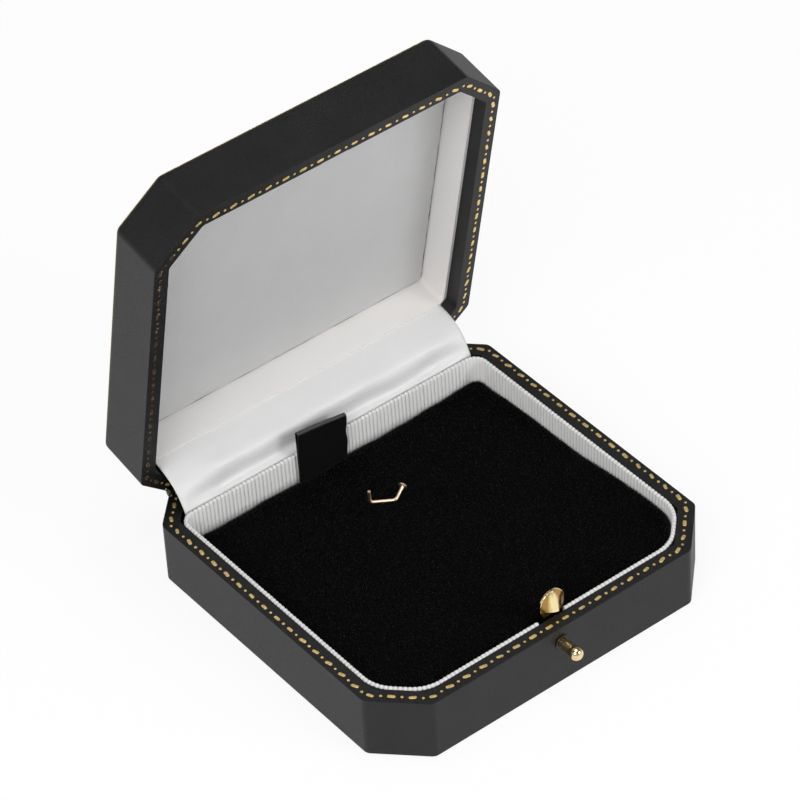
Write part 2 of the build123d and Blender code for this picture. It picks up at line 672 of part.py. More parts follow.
def gusset_points(offset):
    """Points of the gusset's bowed section in (y, z), moved off its middle line by offset."""
    start_y = WELL_BACK + GUSSET
    start_z = BASE_HEIGHT
    turn = radians(LID_OPEN_ANGLE)
    lining_y = LID_LINING_BACK - LID_LINING_FIT - HINGE_Y
    lining_z = LID_RIM + LID_LINING_DEPTH - HINGE_Z
    end_y = HINGE_Y + lining_y * cos(turn) + lining_z * sin(turn) - GUSSET
    end_z = HINGE_Z - lining_y * sin(turn) + lining_z * cos(turn) - GUSSET
    run_y = end_y - start_y
    run_z = end_z - start_z
    length = sqrt(run_y ** 2 + run_z ** 2)
    normal_y = -run_z / length
    normal_z = run_y / length
    points = []
    for part in (0.0, 0.14, 0.3, 0.5, 0.7, 0.86, 1.0):
        bow = GUSSET_BOW * sin(pi * part) - GUSSET_VALLEY * sin(pi * part) * cos(pi * part) * 2 + offset
        points.append((start_y + run_y * part + normal_y * bow, start_z + run_z * part + normal_z * bow))
    return points


def hinge_gusset():
    """Satin gusset that bridges the two halves over the hinge, as it hangs with the lid open."""
    upper = gusset_points(GUSSET / 2)
    lower = gusset_points(-GUSSET / 2)
    face = make_face(Spline(*upper) + Line(upper[-1], lower[-1]) + Spline(*lower) + Line(lower[0], upper[0]))
    left = -WELL_X + GUSSET_LEFT_MARGIN
    right = WELL_X - GUSSET_RIGHT_MARGIN
    return Pos(left, 0, 0) * extrude(Plane.YZ * face, right - left)


def as_one(shape):
    """One shape to export: a list of pieces becomes a compound, and a lone solid stays a solid."""
    if isinstance(shape, list):
        return Compound(children=[piece.solid() for piece in shape])
    solids = shape.solids()
    return solids[0] if len(solids) == 1 else Compound(children=list(solids))


PIECES = {
    "base_shell": base_shell,
    "base_wrap": base_wrap,
    "base_sheet": base_sheet,
    "liner_collar": liner_collar,
    "liner_trim": liner_trim,
    "floor_lining": floor_lining,
    "pad_riser": pad_riser,
    "hinge_leaf_base": lambda: hinge_leaf(-1, 0, PIN_FIT),
    "hinge_rivets_base": lambda: hinge_rivets(-1),
    "hinge_pin": hinge_pin,
    "hinge_gusset": hinge_gusset,
    "button_bush": button_bush,
    "catch_clamp": catch_clamp,
    "catch_rivets": catch_rivets,
    "lid_shell": lid_shell,
    "lid_wrap": lid_wrap,
    "lid_wall_lining": lid_wall_lining,
    "lid_panel_board": lid_panel_board,
    "lid_panel_foam": lid_panel_foam,
    "lid_panel_satin": lid_panel_satin,
    "hinge_leaf_lid": lambda: opened(hinge_leaf(1, 1, PIN_RUNNING_FIT)),
    "hinge_rivets_lid": lambda: [opened(rivet) for rivet in hinge_rivets(1)],
    "catch_keeper": catch_keeper,
    "keeper_pins": lambda: [opened(keeper_pin(side, 0)) for side in (-1, 1)],
    "push_button": push_button,
    "catch_tongue": catch_tongue,
    "pad_board": pad_board,
    "pad_foam": pad_foam,
    "pad_velvet": pad_velvet,
    "ribbon_tab": ribbon_tab,
    "pendant_hook": pendant_hook,
}

os.makedirs("parts", exist_ok=True)
for name, build in PIECES.items():
    export_step(as_one(build()), f"parts/{name}.step")
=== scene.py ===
"""Pendant box, dressed: charcoal leatherette with a gold tooled line, ribbed satin trim, white satin
lining and gusset, a black velvet pad with its ribbon, and a gilt hook and catch.

Lengths are in millimetres, and become the frame's metres where a mesh, a curve or a tree is made.
"""
import json
import math

import bpy
import numpy as np
from mathutils import Matrix, Vector


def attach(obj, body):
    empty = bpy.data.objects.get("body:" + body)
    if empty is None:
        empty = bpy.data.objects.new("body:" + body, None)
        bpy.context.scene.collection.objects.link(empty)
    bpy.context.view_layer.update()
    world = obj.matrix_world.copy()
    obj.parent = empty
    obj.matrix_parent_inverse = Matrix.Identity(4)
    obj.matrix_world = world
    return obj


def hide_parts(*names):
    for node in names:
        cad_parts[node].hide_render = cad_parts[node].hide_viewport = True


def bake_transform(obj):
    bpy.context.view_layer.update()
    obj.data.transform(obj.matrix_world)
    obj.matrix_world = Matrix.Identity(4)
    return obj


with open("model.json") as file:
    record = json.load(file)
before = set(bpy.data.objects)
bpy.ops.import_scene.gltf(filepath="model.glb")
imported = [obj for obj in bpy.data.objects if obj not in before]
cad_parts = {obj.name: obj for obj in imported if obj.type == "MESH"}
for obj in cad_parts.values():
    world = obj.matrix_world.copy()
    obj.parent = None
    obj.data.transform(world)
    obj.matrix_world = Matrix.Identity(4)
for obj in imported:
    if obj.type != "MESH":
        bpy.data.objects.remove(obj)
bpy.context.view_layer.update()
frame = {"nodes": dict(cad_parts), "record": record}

MM = 0.001
UV_SPAN = 100.0

# The box, as its maker would draw it
HALF = 43.0
CORNER_LEG = 9.7
RIM_WIDTH = 3.5
BASE_RIM = 15.0
LID_RIM = 15.2
LID_TOP = 28.6
HINGE_Y = 40.6
HINGE_Z = 14.6
LID_OPEN = math.radians(78)
WELL_HALF = HALF - RIM_WIDTH
WELL_BACK = 32.85
LID_WELL_BACK = 33.4
DIAGONAL_STEP = 2 - math.sqrt(2)
WELL_FRONT_RADIUS = 9.0
WELL_BACK_RADIUS = 3.4
CATCH_X = 0.4
CATCH_HALF_WIDTH = 4.3
ARC_STEPS = 8
SIDE_STEPS = (8, 72, 80, 72, 8, 76)
LEAST_RADIUS = 0.6


# Geometry helpers

def unit(vector):
    """A vector at a length of one."""
    return vector / np.linalg.norm(vector)


def placed(name, data):
    """A new object in the scene."""
    made = bpy.data.objects.new(name, data)
    bpy.context.scene.collection.objects.link(made)
    return made


def plain_mesh(name, points, faces):
    """A mesh from millimetre points."""
    mesh = bpy.data.meshes.new(name)
    mesh.from_pydata([tuple(c * MM for c in p) for p in points], [], faces)
    return mesh


def mesh_piece(name, points, faces, material, body, smooth=True):
    """A mesh piece from millimetre points, with its material, riding on a body."""
    mesh = plain_mesh(name, points, faces)
    mesh.validate()
    mesh.materials.append(material)
    mesh.polygons.foreach_set("use_smooth", [smooth] * len(mesh.polygons))
    piece = placed(name, mesh)
    if body:
        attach(piece, body)
    return piece


def mark(mesh, name, values):
    """A number at each point, which a material or a tree reads under its name."""
    mesh.attributes.new(name, "FLOAT", "POINT").data.foreach_set("value", values)


def repaint(mesh, *materials):
    """New materials in place of a mesh's own."""
    mesh.materials.clear()
    for material in materials:
        mesh.materials.append(material)


def ring_faces(rings, count):
    """Faces between closed rings of count points each."""
    pairs = [(r * count + k, r * count + (k + 1) % count) for r in range(rings - 1) for k in range(count)]
    return [(a, b, b + count, a + count) for a, b in pairs]


def sheet_faces(rows, columns):
    """Faces of an open sheet of rows by columns."""
    wide = columns + 1
    starts = [r * wide + k for r in range(rows) for k in range(columns)]
    return [(a, a + 1, a + wide + 1, a + wide) for a in starts]


TUBE_SIDE = (0.31, 0.22, 0.92)


def tube(name, path, radii, sides, material, body, sharp=35):
    """Closed round body along a path, with a radius at each point: a bent wire or a turned piece."""
    points, faces, rings = [], [], []
    path = [np.array(p, float) for p in path]
    run = None
    side = np.array(TUBE_SIDE)
    for i, (here, radius) in enumerate(zip(path, radii)):
        ahead = path[min(i + 1, len(path) - 1)] - path[max(i - 1, 0)]
        if np.linalg.norm(ahead) > 1e-6:
            run = unit(ahead)
        side = unit(side - run * np.dot(side, run))
        up = np.cross(run, side)
        if radius == 0:
            rings.append([len(points)])
            points.append(here)
            continue
        rings.append(list(range(len(points), len(points) + sides)))
        for k in range(sides):
            turn = 2 * math.pi * k / sides
            points.append(here + (side * math.cos(turn) + up * math.sin(turn)) * radius)
    for low, high in zip(rings, rings[1:]):
        for k in range(sides):
            after = (k + 1) % sides
            if len(low) == 1:
                faces.append((low[0], high[after], high[k]))
            elif len(high) == 1:
                faces.append((low[k], low[after], high[0]))
            else:
                faces.append((low[k], low[after], high[after], high[k]))
    if len(rings[0]) > 1:
        faces.append(tuple(reversed(rings[0])))
    if len(rings[-1]) > 1:
        faces.append(tuple(rings[-1]))
    piece = mesh_piece(name, points, faces, material, body)
    piece.data.set_sharp_from_angle(angle=math.radians(sharp))
    return piece


def bent(corners, reach, steps=8):
    """Path through corners, each one rounded off from a reach before it to a reach after it."""
    pts = [np.array(c, float) for c in corners]
    path = [pts[0]]
    for before, here, after in zip(pts, pts[1:], pts[2:]):
        start = here + unit(before - here) * reach
        end = here + unit(after - here) * reach
        for k in range(steps + 1):
            t = k / steps
            path.append(start * (1 - t) ** 2 + here * 2 * t * (1 - t) + end * t ** 2)
    return path + [pts[-1]]


def opened(point):
    """A closed-lid point, turned to where the open lid holds it."""
    x, y, z = point
    dy, dz = y - HINGE_Y, z - HINGE_Z
    c, s = math.cos(LID_OPEN), math.sin(LID_OPEN)
    return x, HINGE_Y + dy * c + dz * s, HINGE_Z - dy * s + dz * c


def rounded(corners, radii, steps):
    """Closed line round a polygon with rounded corners, each side cut into its own number of steps."""
    count = len(corners)
    pts = [np.array(c, float) for c in corners]
    stretches = []
    for i in range(count):
        here, before, after = pts[i], pts[i - 1], pts[(i + 1) % count]
        to_before = unit(before - here)
        to_after = unit(after - here)
        half_angle = math.acos(np.clip(np.dot(to_before, to_after), -1, 1)) / 2
        reach = radii[i] / math.tan(half_angle)
        middle = here + unit(to_before + to_after) * radii[i] / math.sin(half_angle)
        start, end = here + to_before * reach, here + to_after * reach
        arc = []
        for k in range(ARC_STEPS + 1):
            part = k / ARC_STEPS
            chord = start * (1 - part) + end * part - middle
            arc.append(middle + unit(chord) * radii[i])
        stretches.append(arc)
    line = []
    for i, arc in enumerate(stretches):
        line.extend(arc)
        tail, head = arc[-1], stretches[(i + 1) % count][0]
        line.extend(tail + (head - tail) * k / steps[i] for k in range(1, steps[i]))
    return [(p[0], p[1]) for p in line]


def well_corners(inset, back):
    """Corners of a lined well, anticlockwise from the front right."""
    x = WELL_HALF - inset
    leg = CORNER_LEG - (RIM_WIDTH + inset) * DIAGONAL_STEP
    return [(x - leg, -x), (x, leg - x), (x, back - inset), (-x, back - inset), (-x, leg - x), (leg - x, -x)]


def well(inset, back, front_radius, back_radius):
    """Closed outline of a lined well, with the same number of points at every inset."""
    front = max(front_radius - inset, LEAST_RADIUS)
    rear = max(back_radius - inset, LEAST_RADIUS)
    return rounded(well_corners(inset, back), [front, front, rear, rear, front, front], SIDE_STEPS)


# Node trees

class Value:
    """A node's output, which Python's operators add Math nodes to."""

    def __init__(self, tree, socket):
        self.tree = tree
        self.socket = socket

    def out(self, name):
        """Another output of the same node."""
        return Value(self.tree, self.socket.node.outputs[name])

    def math(self, operation, first, second):
        return self.tree.node("ShaderNodeMath", {"operation": operation}, {0: first, 1: second})

    def __add__(self, other):
        return self.math("ADD", self, other)

    __radd__ = __add__

    def __sub__(self, other):
        return self.math("SUBTRACT", self, other)

    def __rsub__(self, other):
        return self.math("SUBTRACT", other, self)

    def __mul__(self, other):
        return self.math("MULTIPLY", self, other)

    __rmul__ = __mul__


class Tree:
    """A node tree under construction, where every new node comes from one method."""

    def __init__(self, tree):
        self.tree = tree

    def feed(self, socket, value):
        """A socket's number, colour, object or link."""
        if isinstance(value, Value):
            self.tree.links.new(value.socket, socket)
        else:
            socket.default_value = value

    def node(self, kind, settings=None, inputs=None, output=0):
        """Any node: its settings, with a ramp's stops, and then the values or links of its sockets."""
        made = self.tree.nodes.new(kind)
        for key, value in (settings or {}).items():
            if key == "stops":
                for point, (place, result) in zip(made.color_ramp.elements, value):
                    point.position = place
                    point.color = (result, result, result, 1)
            else:
                setattr(made, key, value)
        for key, value in (inputs or {}).items():
            self.feed(made.inputs[key], value)
        return Value(self, made.outputs[output]) if made.outputs else None

    def ramp(self, value, low, high, start=0.0, end=1.0):
        """A number remapped, from start at low to end at high."""
        return self.node("ShaderNodeValToRGB", {"stops": ((low, start), (high, end))}, {0: value})


class Finish(Tree):
    """A material under construction, with sizes in millimetres."""

    def __init__(self, name, colour, roughness, metallic=0.0, specular=0.5):
        self.material = bpy.data.materials.new(name)
        self.material.use_nodes = True
        super().__init__(self.material.node_tree)
        self.shader = self.tree.nodes["Principled BSDF"]
        self.set("Base Color", (*colour, 1))
        self.set("Roughness", roughness)
        self.set("Metallic", metallic)
        self.set("Specular IOR Level", specular)
        self.material.diffuse_color = (*colour, 1)

    def set(self, socket, value):
        """A socket of the main shader, as a number, a colour or a link."""
        self.feed(self.shader.inputs[socket], value)

    def place(self, turn=(0, 0, 0), stretch=(1, 1, 1), coordinates="Object"):
        """Coordinates in millimetres, turned and stretched."""
        start = self.node("ShaderNodeTexCoord", output=coordinates)
        scale = [s / MM for s in stretch] if coordinates == "Object" else stretch
        return self.node("ShaderNodeMapping", None, {"Vector": start, "Rotation": turn, "Scale": scale})

    def noise(self, place, size, detail=2.0, rough=0.5):
        """Soft noise with blotches about size across, from 0 to 1."""
        sizes = {"Vector": place, "Scale": 1 / size, "Detail": detail, "Roughness": rough}
        return self.node("ShaderNodeTexNoise", None, sizes)

    def cells(self, place, size):
        """Pebbles about size across, from their edges inwards."""
        settings = {"feature": "DISTANCE_TO_EDGE"}
        return self.node("ShaderNodeTexVoronoi", settings, {"Vector": place, "Scale": 1 / size})

    def waves(self, place, pitch, direction="X", distortion=0.0):
        """Ribs of a given pitch, from 0 to 1."""
        settings = {"wave_type": "BANDS", "bands_direction": direction}
        sizes = {"Vector": place, "Scale": math.pi / 10 / pitch, "Distortion": distortion}
        return self.node("ShaderNodeTexWave", settings, sizes)

    def marked(self, name):
        """The number that a piece's points hold under a name."""
        return self.node("ShaderNodeAttribute", {"attribute_name": name}, output="Fac")

    def colour(self, factor, first, second):
        """Base colour that goes from one colour to another."""
        sockets = {0: factor, 6: (*first, 1), 7: (*second, 1)}
        self.set("Base Color", self.node("ShaderNodeMix", {"data_type": "RGBA"}, sockets, output=2))

    def bump(self, height, depth, strength):
        """Relief of a given depth in millimetres."""
        sockets = {"Height": height, "Distance": depth * MM, "Strength": strength}
        self.set("Normal", self.node("ShaderNodeBump", None, sockets))


def shade(colour, factor):
    """A colour made darker or paler."""
    return tuple(min(1.0, c * factor) for c in colour)


# Copies of a pattern

# The sockets of Trim Curve that take lengths
STRETCH_FROM = 4
STRETCH_TO = 5


class Copies(Tree):
    """Geometry Nodes tree with named inputs, which stands copies of a pattern object on points."""

    def __init__(self, name, numbers, counts):
        super().__init__(bpy.data.node_groups.new(name, "GeometryNodeTree"))
        face = self.tree.interface
        face.new_socket("Geometry", in_out="INPUT", socket_type="NodeSocketGeometry")
        for kind, inputs in (("NodeSocketFloat", numbers), ("NodeSocketInt", counts)):
            for label, default in inputs.items():
                face.new_socket(label, in_out="INPUT", socket_type=kind).default_value = default
        face.new_socket("Geometry", in_out="OUTPUT", socket_type="NodeSocketGeometry")
        self.given = self.node("NodeGroupInput")

    def random(self, low, high):
        """A random number for each copy."""
        sockets = {2: low, 3: high, "Seed": self.given.out("Seed")}
        return self.node("FunctionNodeRandomValue", {"data_type": "FLOAT"}, sockets, output=1)

    def turned(self, rotation, angles):
        """A rotation turned further, about its own axes."""
        extra = self.node("FunctionNodeEulerToRotation", None, {0: angles})
        settings = {"rotation_space": "LOCAL"}
        return self.node("FunctionNodeRotateRotation", settings, {0: rotation, 1: extra})

    def stand(self, pattern, material, sockets):
        """Copies of the pattern on points, made real and given their material."""
        source = self.node("GeometryNodeObjectInfo", None, {"Object": pattern}, output="Geometry")
        copies = self.node("GeometryNodeInstanceOnPoints", None, {"Instance": source, **sockets})
        real = self.node("GeometryNodeRealizeInstances", None, {0: copies})
        painted = self.node("GeometryNodeSetMaterial", None, {"Geometry": real, "Material": material})
        self.node("NodeGroupOutput", None, {"Geometry": painted})

    def run(self, name, ground, sizes):
        """What the tree makes on an object, as one plain mesh; the object itself goes."""
        modifier = ground.modifiers.new("copies", "NODES")
        modifier.node_group = self.tree
        for item in self.tree.interface.items_tree:
            if item.in_out == "INPUT" and item.name in sizes:
                modifier[item.identifier] = sizes[item.name]
        bpy.context.view_layer.update()
        evaluated = ground.evaluated_get(bpy.context.evaluated_depsgraph_get())
        mesh = bpy.data.meshes.new_from_object(evaluated)
        ground.modifiers.remove(modifier)
        bpy.data.objects.remove(ground)
        mesh.name = name
        return placed(name, mesh)


def along_path(name, pattern, material):
    """Tree that sets copies of a pattern object along a curve.

    Inputs: Pitch, between places; Start, where the first one lies; Every and Phase, which places take
    a copy; Size Spread and Turn Spread, how unevenly they were made; Seed.
    """
    numbers = {"Pitch": 0.001, "Start": 0.0, "Size Spread": 0.0, "Turn Spread": 0.0}
    tree = Copies(name, numbers, {"Seed": 1, "Every": 1, "Phase": 0})
    given = tree.given
    spread, turn = given.out("Size Spread"), given.out("Turn Spread")
    length = tree.node("GeometryNodeCurveLength", None, {"Curve": given})
    stretch = {"Curve": given, STRETCH_FROM: given.out("Start"), STRETCH_TO: length}
    trimmed = tree.node("GeometryNodeTrimCurve", {"mode": "LENGTH"}, stretch)
    spacing = {"Curve": trimmed, "Length": given.out("Pitch")}
    spots = tree.node("GeometryNodeCurveToPoints", {"mode": "LENGTH"}, spacing)
    axes = {"axis": "X", "pivot_axis": "Z"}
    along = tree.node("FunctionNodeAlignRotationToVector", axes, {"Vector": spots.out("Tangent")})
    angles = tree.node("ShaderNodeCombineXYZ", None, {"Z": tree.random(turn * -1, turn)})
    number = tree.node("GeometryNodeInputIndex")
    match = {0: number.math("MODULO", number, given.out("Every")), 1: given.out("Phase"), "Epsilon": 0.1}
    sockets = {"Points": spots, "Rotation": tree.turned(along, angles)}
    sockets["Selection"] = tree.node("FunctionNodeCompare", {"operation": "EQUAL"}, match)
    sockets["Scale"] = tree.random(1 - spread, 1 + spread)
    tree.stand(pattern, material, sockets)
    return tree


def repeat_along(name, points, pattern, material, sizes):
    """Copies of a pattern object along a path, as one plain mesh."""
    curve = bpy.data.curves.new(name + "_path", "CURVE")
    curve.dimensions = "3D"
    spline = curve.splines.new("POLY")
    spline.points.add(len(points) - 1)
    for slot, p in zip(spline.points, points):
        slot.co = (p[0] * MM, p[1] * MM, p[2] * MM, 1)
    return along_path(name, pattern, material).run(name, placed(name + "_path", curve), sizes)


# Materials

def leatherette():
    """Fine-grained charcoal leatherette over card."""
    made = Finish("leatherette", (0.003, 0.003, 0.0032), 0.5, specular=0.4)
    place = made.place()
    pebbles = made.ramp(made.cells(place, 0.45), 0.0, 0.28)
    fine = made.noise(place, 0.22, 3.0)
    broad = made.ramp(made.noise(place, 9.0), 0.3, 0.7)
    made.colour(broad, (0.001, 0.001, 0.0011), (0.0045, 0.0045, 0.0047))
    made.set("Roughness", 0.36 + fine * 0.28)
    made.bump(pebbles * 0.6 + fine * 0.8, 0.07, 0.8)
    return made.material


def gold_foil():
    """Gold foil pressed into the leatherette, a little worn."""
    made = Finish("gold_foil", (0.82, 0.58, 0.2), 0.42, metallic=0.8)
    wear_and_highlight = made.noise(made.place(), 0.5, 3.0, 0.6)
    made.colour(made.ramp(wear_and_highlight, 0.3, 0.55), (0.6, 0.41, 0.13), (0.98, 0.73, 0.29))
    made.set("Roughness", 0.34 + wear_and_highlight * 0.2)
    made.bump(wear_and_highlight, 0.02, 0.6)
    return made.material


def worn_foil():
    """Gold foil darkened to brown, with a few bright specks, for the left of the lid's rim."""
    made = Finish("worn_foil", (0.12, 0.07, 0.04), 0.5, metallic=0.6)
    wear_and_highlight = made.noise(made.place(), 0.28, 3.0, 0.6)
    made.colour(made.ramp(wear_and_highlight, 0.56, 0.66), (0.07, 0.042, 0.03), (0.7, 0.5, 0.2))
    made.set("Roughness", 0.4 + wear_and_highlight * 0.2)
    return made.material


def trim_satin():
    """White ribbed satin, with painted shade between its ribs and along its upper bead."""
    made = Finish("trim_satin", (0.88, 0.875, 0.865), 0.42)
    place = made.place()
    thread = made.noise(made.place(stretch=(1, 1, 0.15)), 0.16)
    soiling = made.noise(place, 14.0)
    # Painted shade and highlight: lighter on each rib's ridge, greyer between the ribs.
    lit = made.ramp(made.marked("ridge"), 0.1, 0.9)
    height = made.node("ShaderNodeSeparateXYZ", None, {0: place}, output="Z")
    # Painted shade: the upper bead is greyer than the wall below it, set by height.
    painted_bead_shade = made.ramp(height - 14.5, 0.1, 0.6, 1.0, 0.55)
    made.colour(lit * painted_bead_shade * (0.9 + soiling * 0.1), (0.6, 0.595, 0.59), (0.95, 0.945, 0.935))
    made.set("Sheen Weight", 0.25)
    made.set("Sheen Roughness", 0.4)
    made.bump(thread, 0.03, 0.5)
    return made.material


def twill_satin(name, colour, turn, contrast, coordinates="Object"):
    """White satin with a fine diagonal twill, turned to the cut of the piece."""
    made = Finish(name, colour, 0.36)
    stretch = (UV_SPAN, UV_SPAN, UV_SPAN) if coordinates == "UV" else (1, 1, 1)
    place = made.place(turn, stretch, coordinates)
    twill = made.waves(place, 0.36, distortion=0.4)
    thread = made.noise(place, 0.2)
    cloth = made.noise(made.place(), 7.0)
    weave = twill * 0.7 + cloth * 0.15 + thread * 0.15
    made.colour(weave, shade(colour, 1 - contrast), shade(colour, 1 + contrast))
    made.set("Roughness", 0.3 + thread * 0.18)
    made.set("Sheen Weight", 0.15)
    made.bump(twill * 0.7 + thread * 0.4, 0.03, contrast * 4)
    return made.material


def velvet():
    """Deep black velvet with a fine, uneven pile."""
    made = Finish("velvet", (0.0015, 0.0015, 0.0016), 0.95, specular=0.04)
    place = made.place()
    pile = made.noise(place, 0.42, 4.0, 0.75)
    crushed = made.noise(place, 11.0, 3.0)
    specks = made.ramp(pile, 0.52, 0.72) * (0.35 + crushed * 0.65)
    made.colour(specks, (0.0002, 0.0002, 0.0002), (0.016, 0.0155, 0.015))
    made.set("Sheen Weight", 0.008)
    made.set("Sheen Roughness", 0.4)
    made.bump(pile, 0.25, 0.8)
    return made.material


def velvet_fibre():
    """Pile fibres, from black to a dull grey where they catch the light."""
    made = Finish("velvet_fibre", (0.004, 0.004, 0.004), 0.8, specular=0.2)
    tone = made.ramp(made.noise(made.place(), 0.3), 0.45, 0.75)
    made.colour(tone, (0.0002, 0.0002, 0.0002), (0.07, 0.069, 0.067))
    return made.material


def ribbon_satin():
    """Black satin ribbon, ribbed across its width, with a painted highlight and light stitches along its
    fold.
    """
    made = Finish("ribbon_satin", (0.0025, 0.0025, 0.0027), 0.45, specular=0.22)
    place = made.place()
    ribs = made.waves(place, 0.32, direction="Z")
    stitches = made.waves(place, 0.42)
    # Painted highlight along the fold's top, broken up by light stitches.
    wear_and_highlight = made.ramp(made.marked("fold"), 0.0, 0.5) * (0.15 + stitches * 0.55)
    made.colour(wear_and_highlight, (0.0025, 0.0025, 0.0027), (0.13, 0.13, 0.135))
    made.set("Roughness", 0.4 + made.noise(place, 1.5) * 0.14)
    made.set("Sheen Weight", 0.02)
    made.bump(ribs, 0.03, 0.5)
    return made.material


def polished_brass():
    """Polished brass with faint turning marks and tarnish."""
    made = Finish("polished_brass", (0.84, 0.67, 0.36), 0.16, metallic=1.0)
    place = made.place()
    tarnish = made.noise(place, 2.2, 3.0)
    made.colour(made.ramp(tarnish, 0.42, 0.75), (0.86, 0.7, 0.4), (0.66, 0.48, 0.22))
    made.set("Roughness", 0.1 + tarnish * 0.14)
    made.bump(made.noise(place, 0.35), 0.008, 0.3)
    return made.material


def rolled_brass():
    """Sprung brass sheet, drawn in fine upright lines, with a painted highlight on its ridge and painted
    shade on its sides, mottled by tarnish.
    """
    made = Finish("rolled_brass", (0.8, 0.6, 0.26), 0.2, metallic=1.0)
    drawn = made.noise(made.place(stretch=(1, 1, 0.08)), 0.2)
    tarnish = made.noise(made.place(), 1.4)
    # Painted highlight and shade: the ridge mark lightens the hood's ridge and edges and darkens its flanks
    # and leg, with a little random tarnish.
    bright = made.ramp(made.marked("ridge") * 0.85 + tarnish * 0.3, 0.35, 0.8)
    made.colour(bright, (0.4, 0.24, 0.07), (0.95, 0.78, 0.42))
    made.set("Roughness", 0.14 + drawn * 0.12)
    made.bump(drawn, 0.02, 0.5)
    return made.material


def gilt_wire():
    """Warm gilt wire."""
    made = Finish("gilt_wire", (0.95, 0.7, 0.5), 0.3, metallic=1.0)
    place = made.place()
    made.set("Roughness", 0.24 + made.noise(place, 0.8) * 0.16)
    made.bump(made.noise(place, 0.25), 0.008, 0.4)
    return made.material


def plain_stock(name, colour, roughness, grain, depth):
    """Card, foam, flock or moulding: an even colour with its own grain."""
    made = Finish(name, colour, roughness)
    speck = made.noise(made.place(), grain, 3.0, 0.6)
    made.colour(speck, shade(colour, 0.82), shade(colour, 1.15))
    made.set("Roughness", roughness - 0.08 + speck * 0.16)
    made.bump(speck, depth, 0.5)
    return made.material


def aged_brass():
    """Darkened brass of the hinge and of the button's bush."""
    made = Finish("aged_brass", (0.05, 0.042, 0.03), 0.4, metallic=1.0)
    made.set("Roughness", 0.3 + made.noise(made.place(), 0.6) * 0.2)
    return made.material


LEATHERETTE = leatherette()
FOIL = gold_foil()
DIM_FOIL = worn_foil()
TRIM = trim_satin()
# Painted shade: the lid panel's white satin is given a darker grey than the lining's, because the panel faces
# away from the light.
SHADED_PANEL_SATIN = twill_satin("panel_satin", (0.6, 0.6, 0.602), (0, math.radians(38), 0), 0.24)
GUSSET_SATIN = twill_satin("gusset_satin", (0.79, 0.783, 0.783), (0, 0, math.radians(-76)), 0.1, "UV")
LINING_SATIN = twill_satin("lining_satin", (0.86, 0.84, 0.825), (0, math.radians(20), 0), 0.015)
VELVET = velvet()
PILE = velvet_fibre()
RIBBON = ribbon_satin()
BRASS = polished_brass()
ROLLED_BRASS = rolled_brass()
GILT = gilt_wire()
FINISH_OF_SLOT = {
    "moulding": plain_stock("black_moulding", (0.02, 0.02, 0.02), 0.6, 0.6, 0.02),
    "leatherette": LEATHERETTE,
    "card_black": plain_stock("black_card", (0.025, 0.025, 0.025), 0.85, 0.4, 0.03),
    "card_grey": plain_stock("grey_card", (0.38, 0.37, 0.35), 0.85, 0.5, 0.03),
    "flock": plain_stock("flocked_paper", (0.012, 0.012, 0.012), 0.95, 0.25, 0.05),
    "satin_ribbed": TRIM,
    "satin": LINING_SATIN,
    # Painted shade: the foam, which shows only in the crease between the lid's panel and its lining, is given
    # a dark grey.
    "foam": plain_stock("foam", (0.16, 0.15, 0.14), 0.9, 0.7, 0.2),
    "velvet": VELVET,
    "ribbon": RIBBON,
    "gilt_wire": GILT,
    "brass": BRASS,
}
DARKENED = ("button_bush", "hinge_leaf_base", "hinge_leaf_lid", "hinge_pin")
DARKENED += ("hinge_rivets_base", "hinge_rivets_lid")


def dress_cad_nodes():
    """Each CAD node takes the finish of its material slot, and the darkened metal its own."""
    darkened = aged_brass()
    for part in frame["record"]["subparts"]:
        name = part["node"]
        finish = darkened if name in DARKENED else FINISH_OF_SLOT[part["material_slot"]]
        repaint(frame["nodes"][name].data, finish)


# Gold tooled line

DASH_LENGTH = 1.65
DASH_WIDTH = 0.74
DOT_WIDTH = 0.58
FOIL_RISE = 0.05
FOIL_PITCH = 4.2
FOIL_STEPS = 16
FOIL_SHOULDER = (0.82, 0.75)
TOOLING_START = 0.6
TOOLING_END = 39.6
DIM_FOIL_LEFT = -38.6
BASE_TOOLING_INSETS = (1.15, 1.8, 1.75, 1.7, 1.4, 1.6)
LID_TOOLING_INSETS = (1.5, 1.7, 2.3, 1.9, 1.5, 1.6)
TOP_TOOLING_INSETS = (2.1, 2.1, 2.1, 2.1, 2.1, 2.1)


def foil_pattern(name, length, width):
    """One stamp of the tooling: a low, round-ended cushion of foil, lying along X."""
    reach = (length - width) / 2
    rim = []
    for k in range(FOIL_STEPS):
        turn = math.pi * (k + 0.5) / (FOIL_STEPS / 2)
        side = reach if math.cos(turn) > 0 else -reach
        rim.append((side + math.cos(turn) * width / 2, math.sin(turn) * width / 2))
    points = [(x, y, 0) for x, y in rim]
    points += [(x * FOIL_SHOULDER[0], y * FOIL_SHOULDER[1], FOIL_RISE) for x, y in rim]
    faces = ring_faces(2, FOIL_STEPS)
    faces += [tuple(range(FOIL_STEPS, 2 * FOIL_STEPS)), tuple(range(FOIL_STEPS - 1, -1, -1))]
    return bpy.data.objects.new(name, plain_mesh(name, points, faces))


def tooling_path(insets, end_y):
    """Corners of the tooled line: an eight-sided line open at the hinge, with an inset for each side.

    insets are those of the right, front right, front, front left, left and back chamfer sides.
    """
    right, front_right, front, front_left, left, back = insets
    right_x, left_x, front_y = HALF - right, left - HALF, front - HALF
    chamfers = [HALF * 2 - CORNER_LEG - inset * math.sqrt(2) for inset in (front_right, front_left, back)]
    right_sum, left_sum, back_sum = chamfers
    corners = [(back_sum - end_y, end_y), (right_x, back_sum - right_x), (right_x, right_x - right_sum)]
    corners += [(right_sum + front_y, front_y), (-left_sum - front_y, front_y)]
    corners += [(left_x, -left_sum - left_x), (left_x, back_sum + left_x), (end_y - back_sum, end_y)]
    return corners


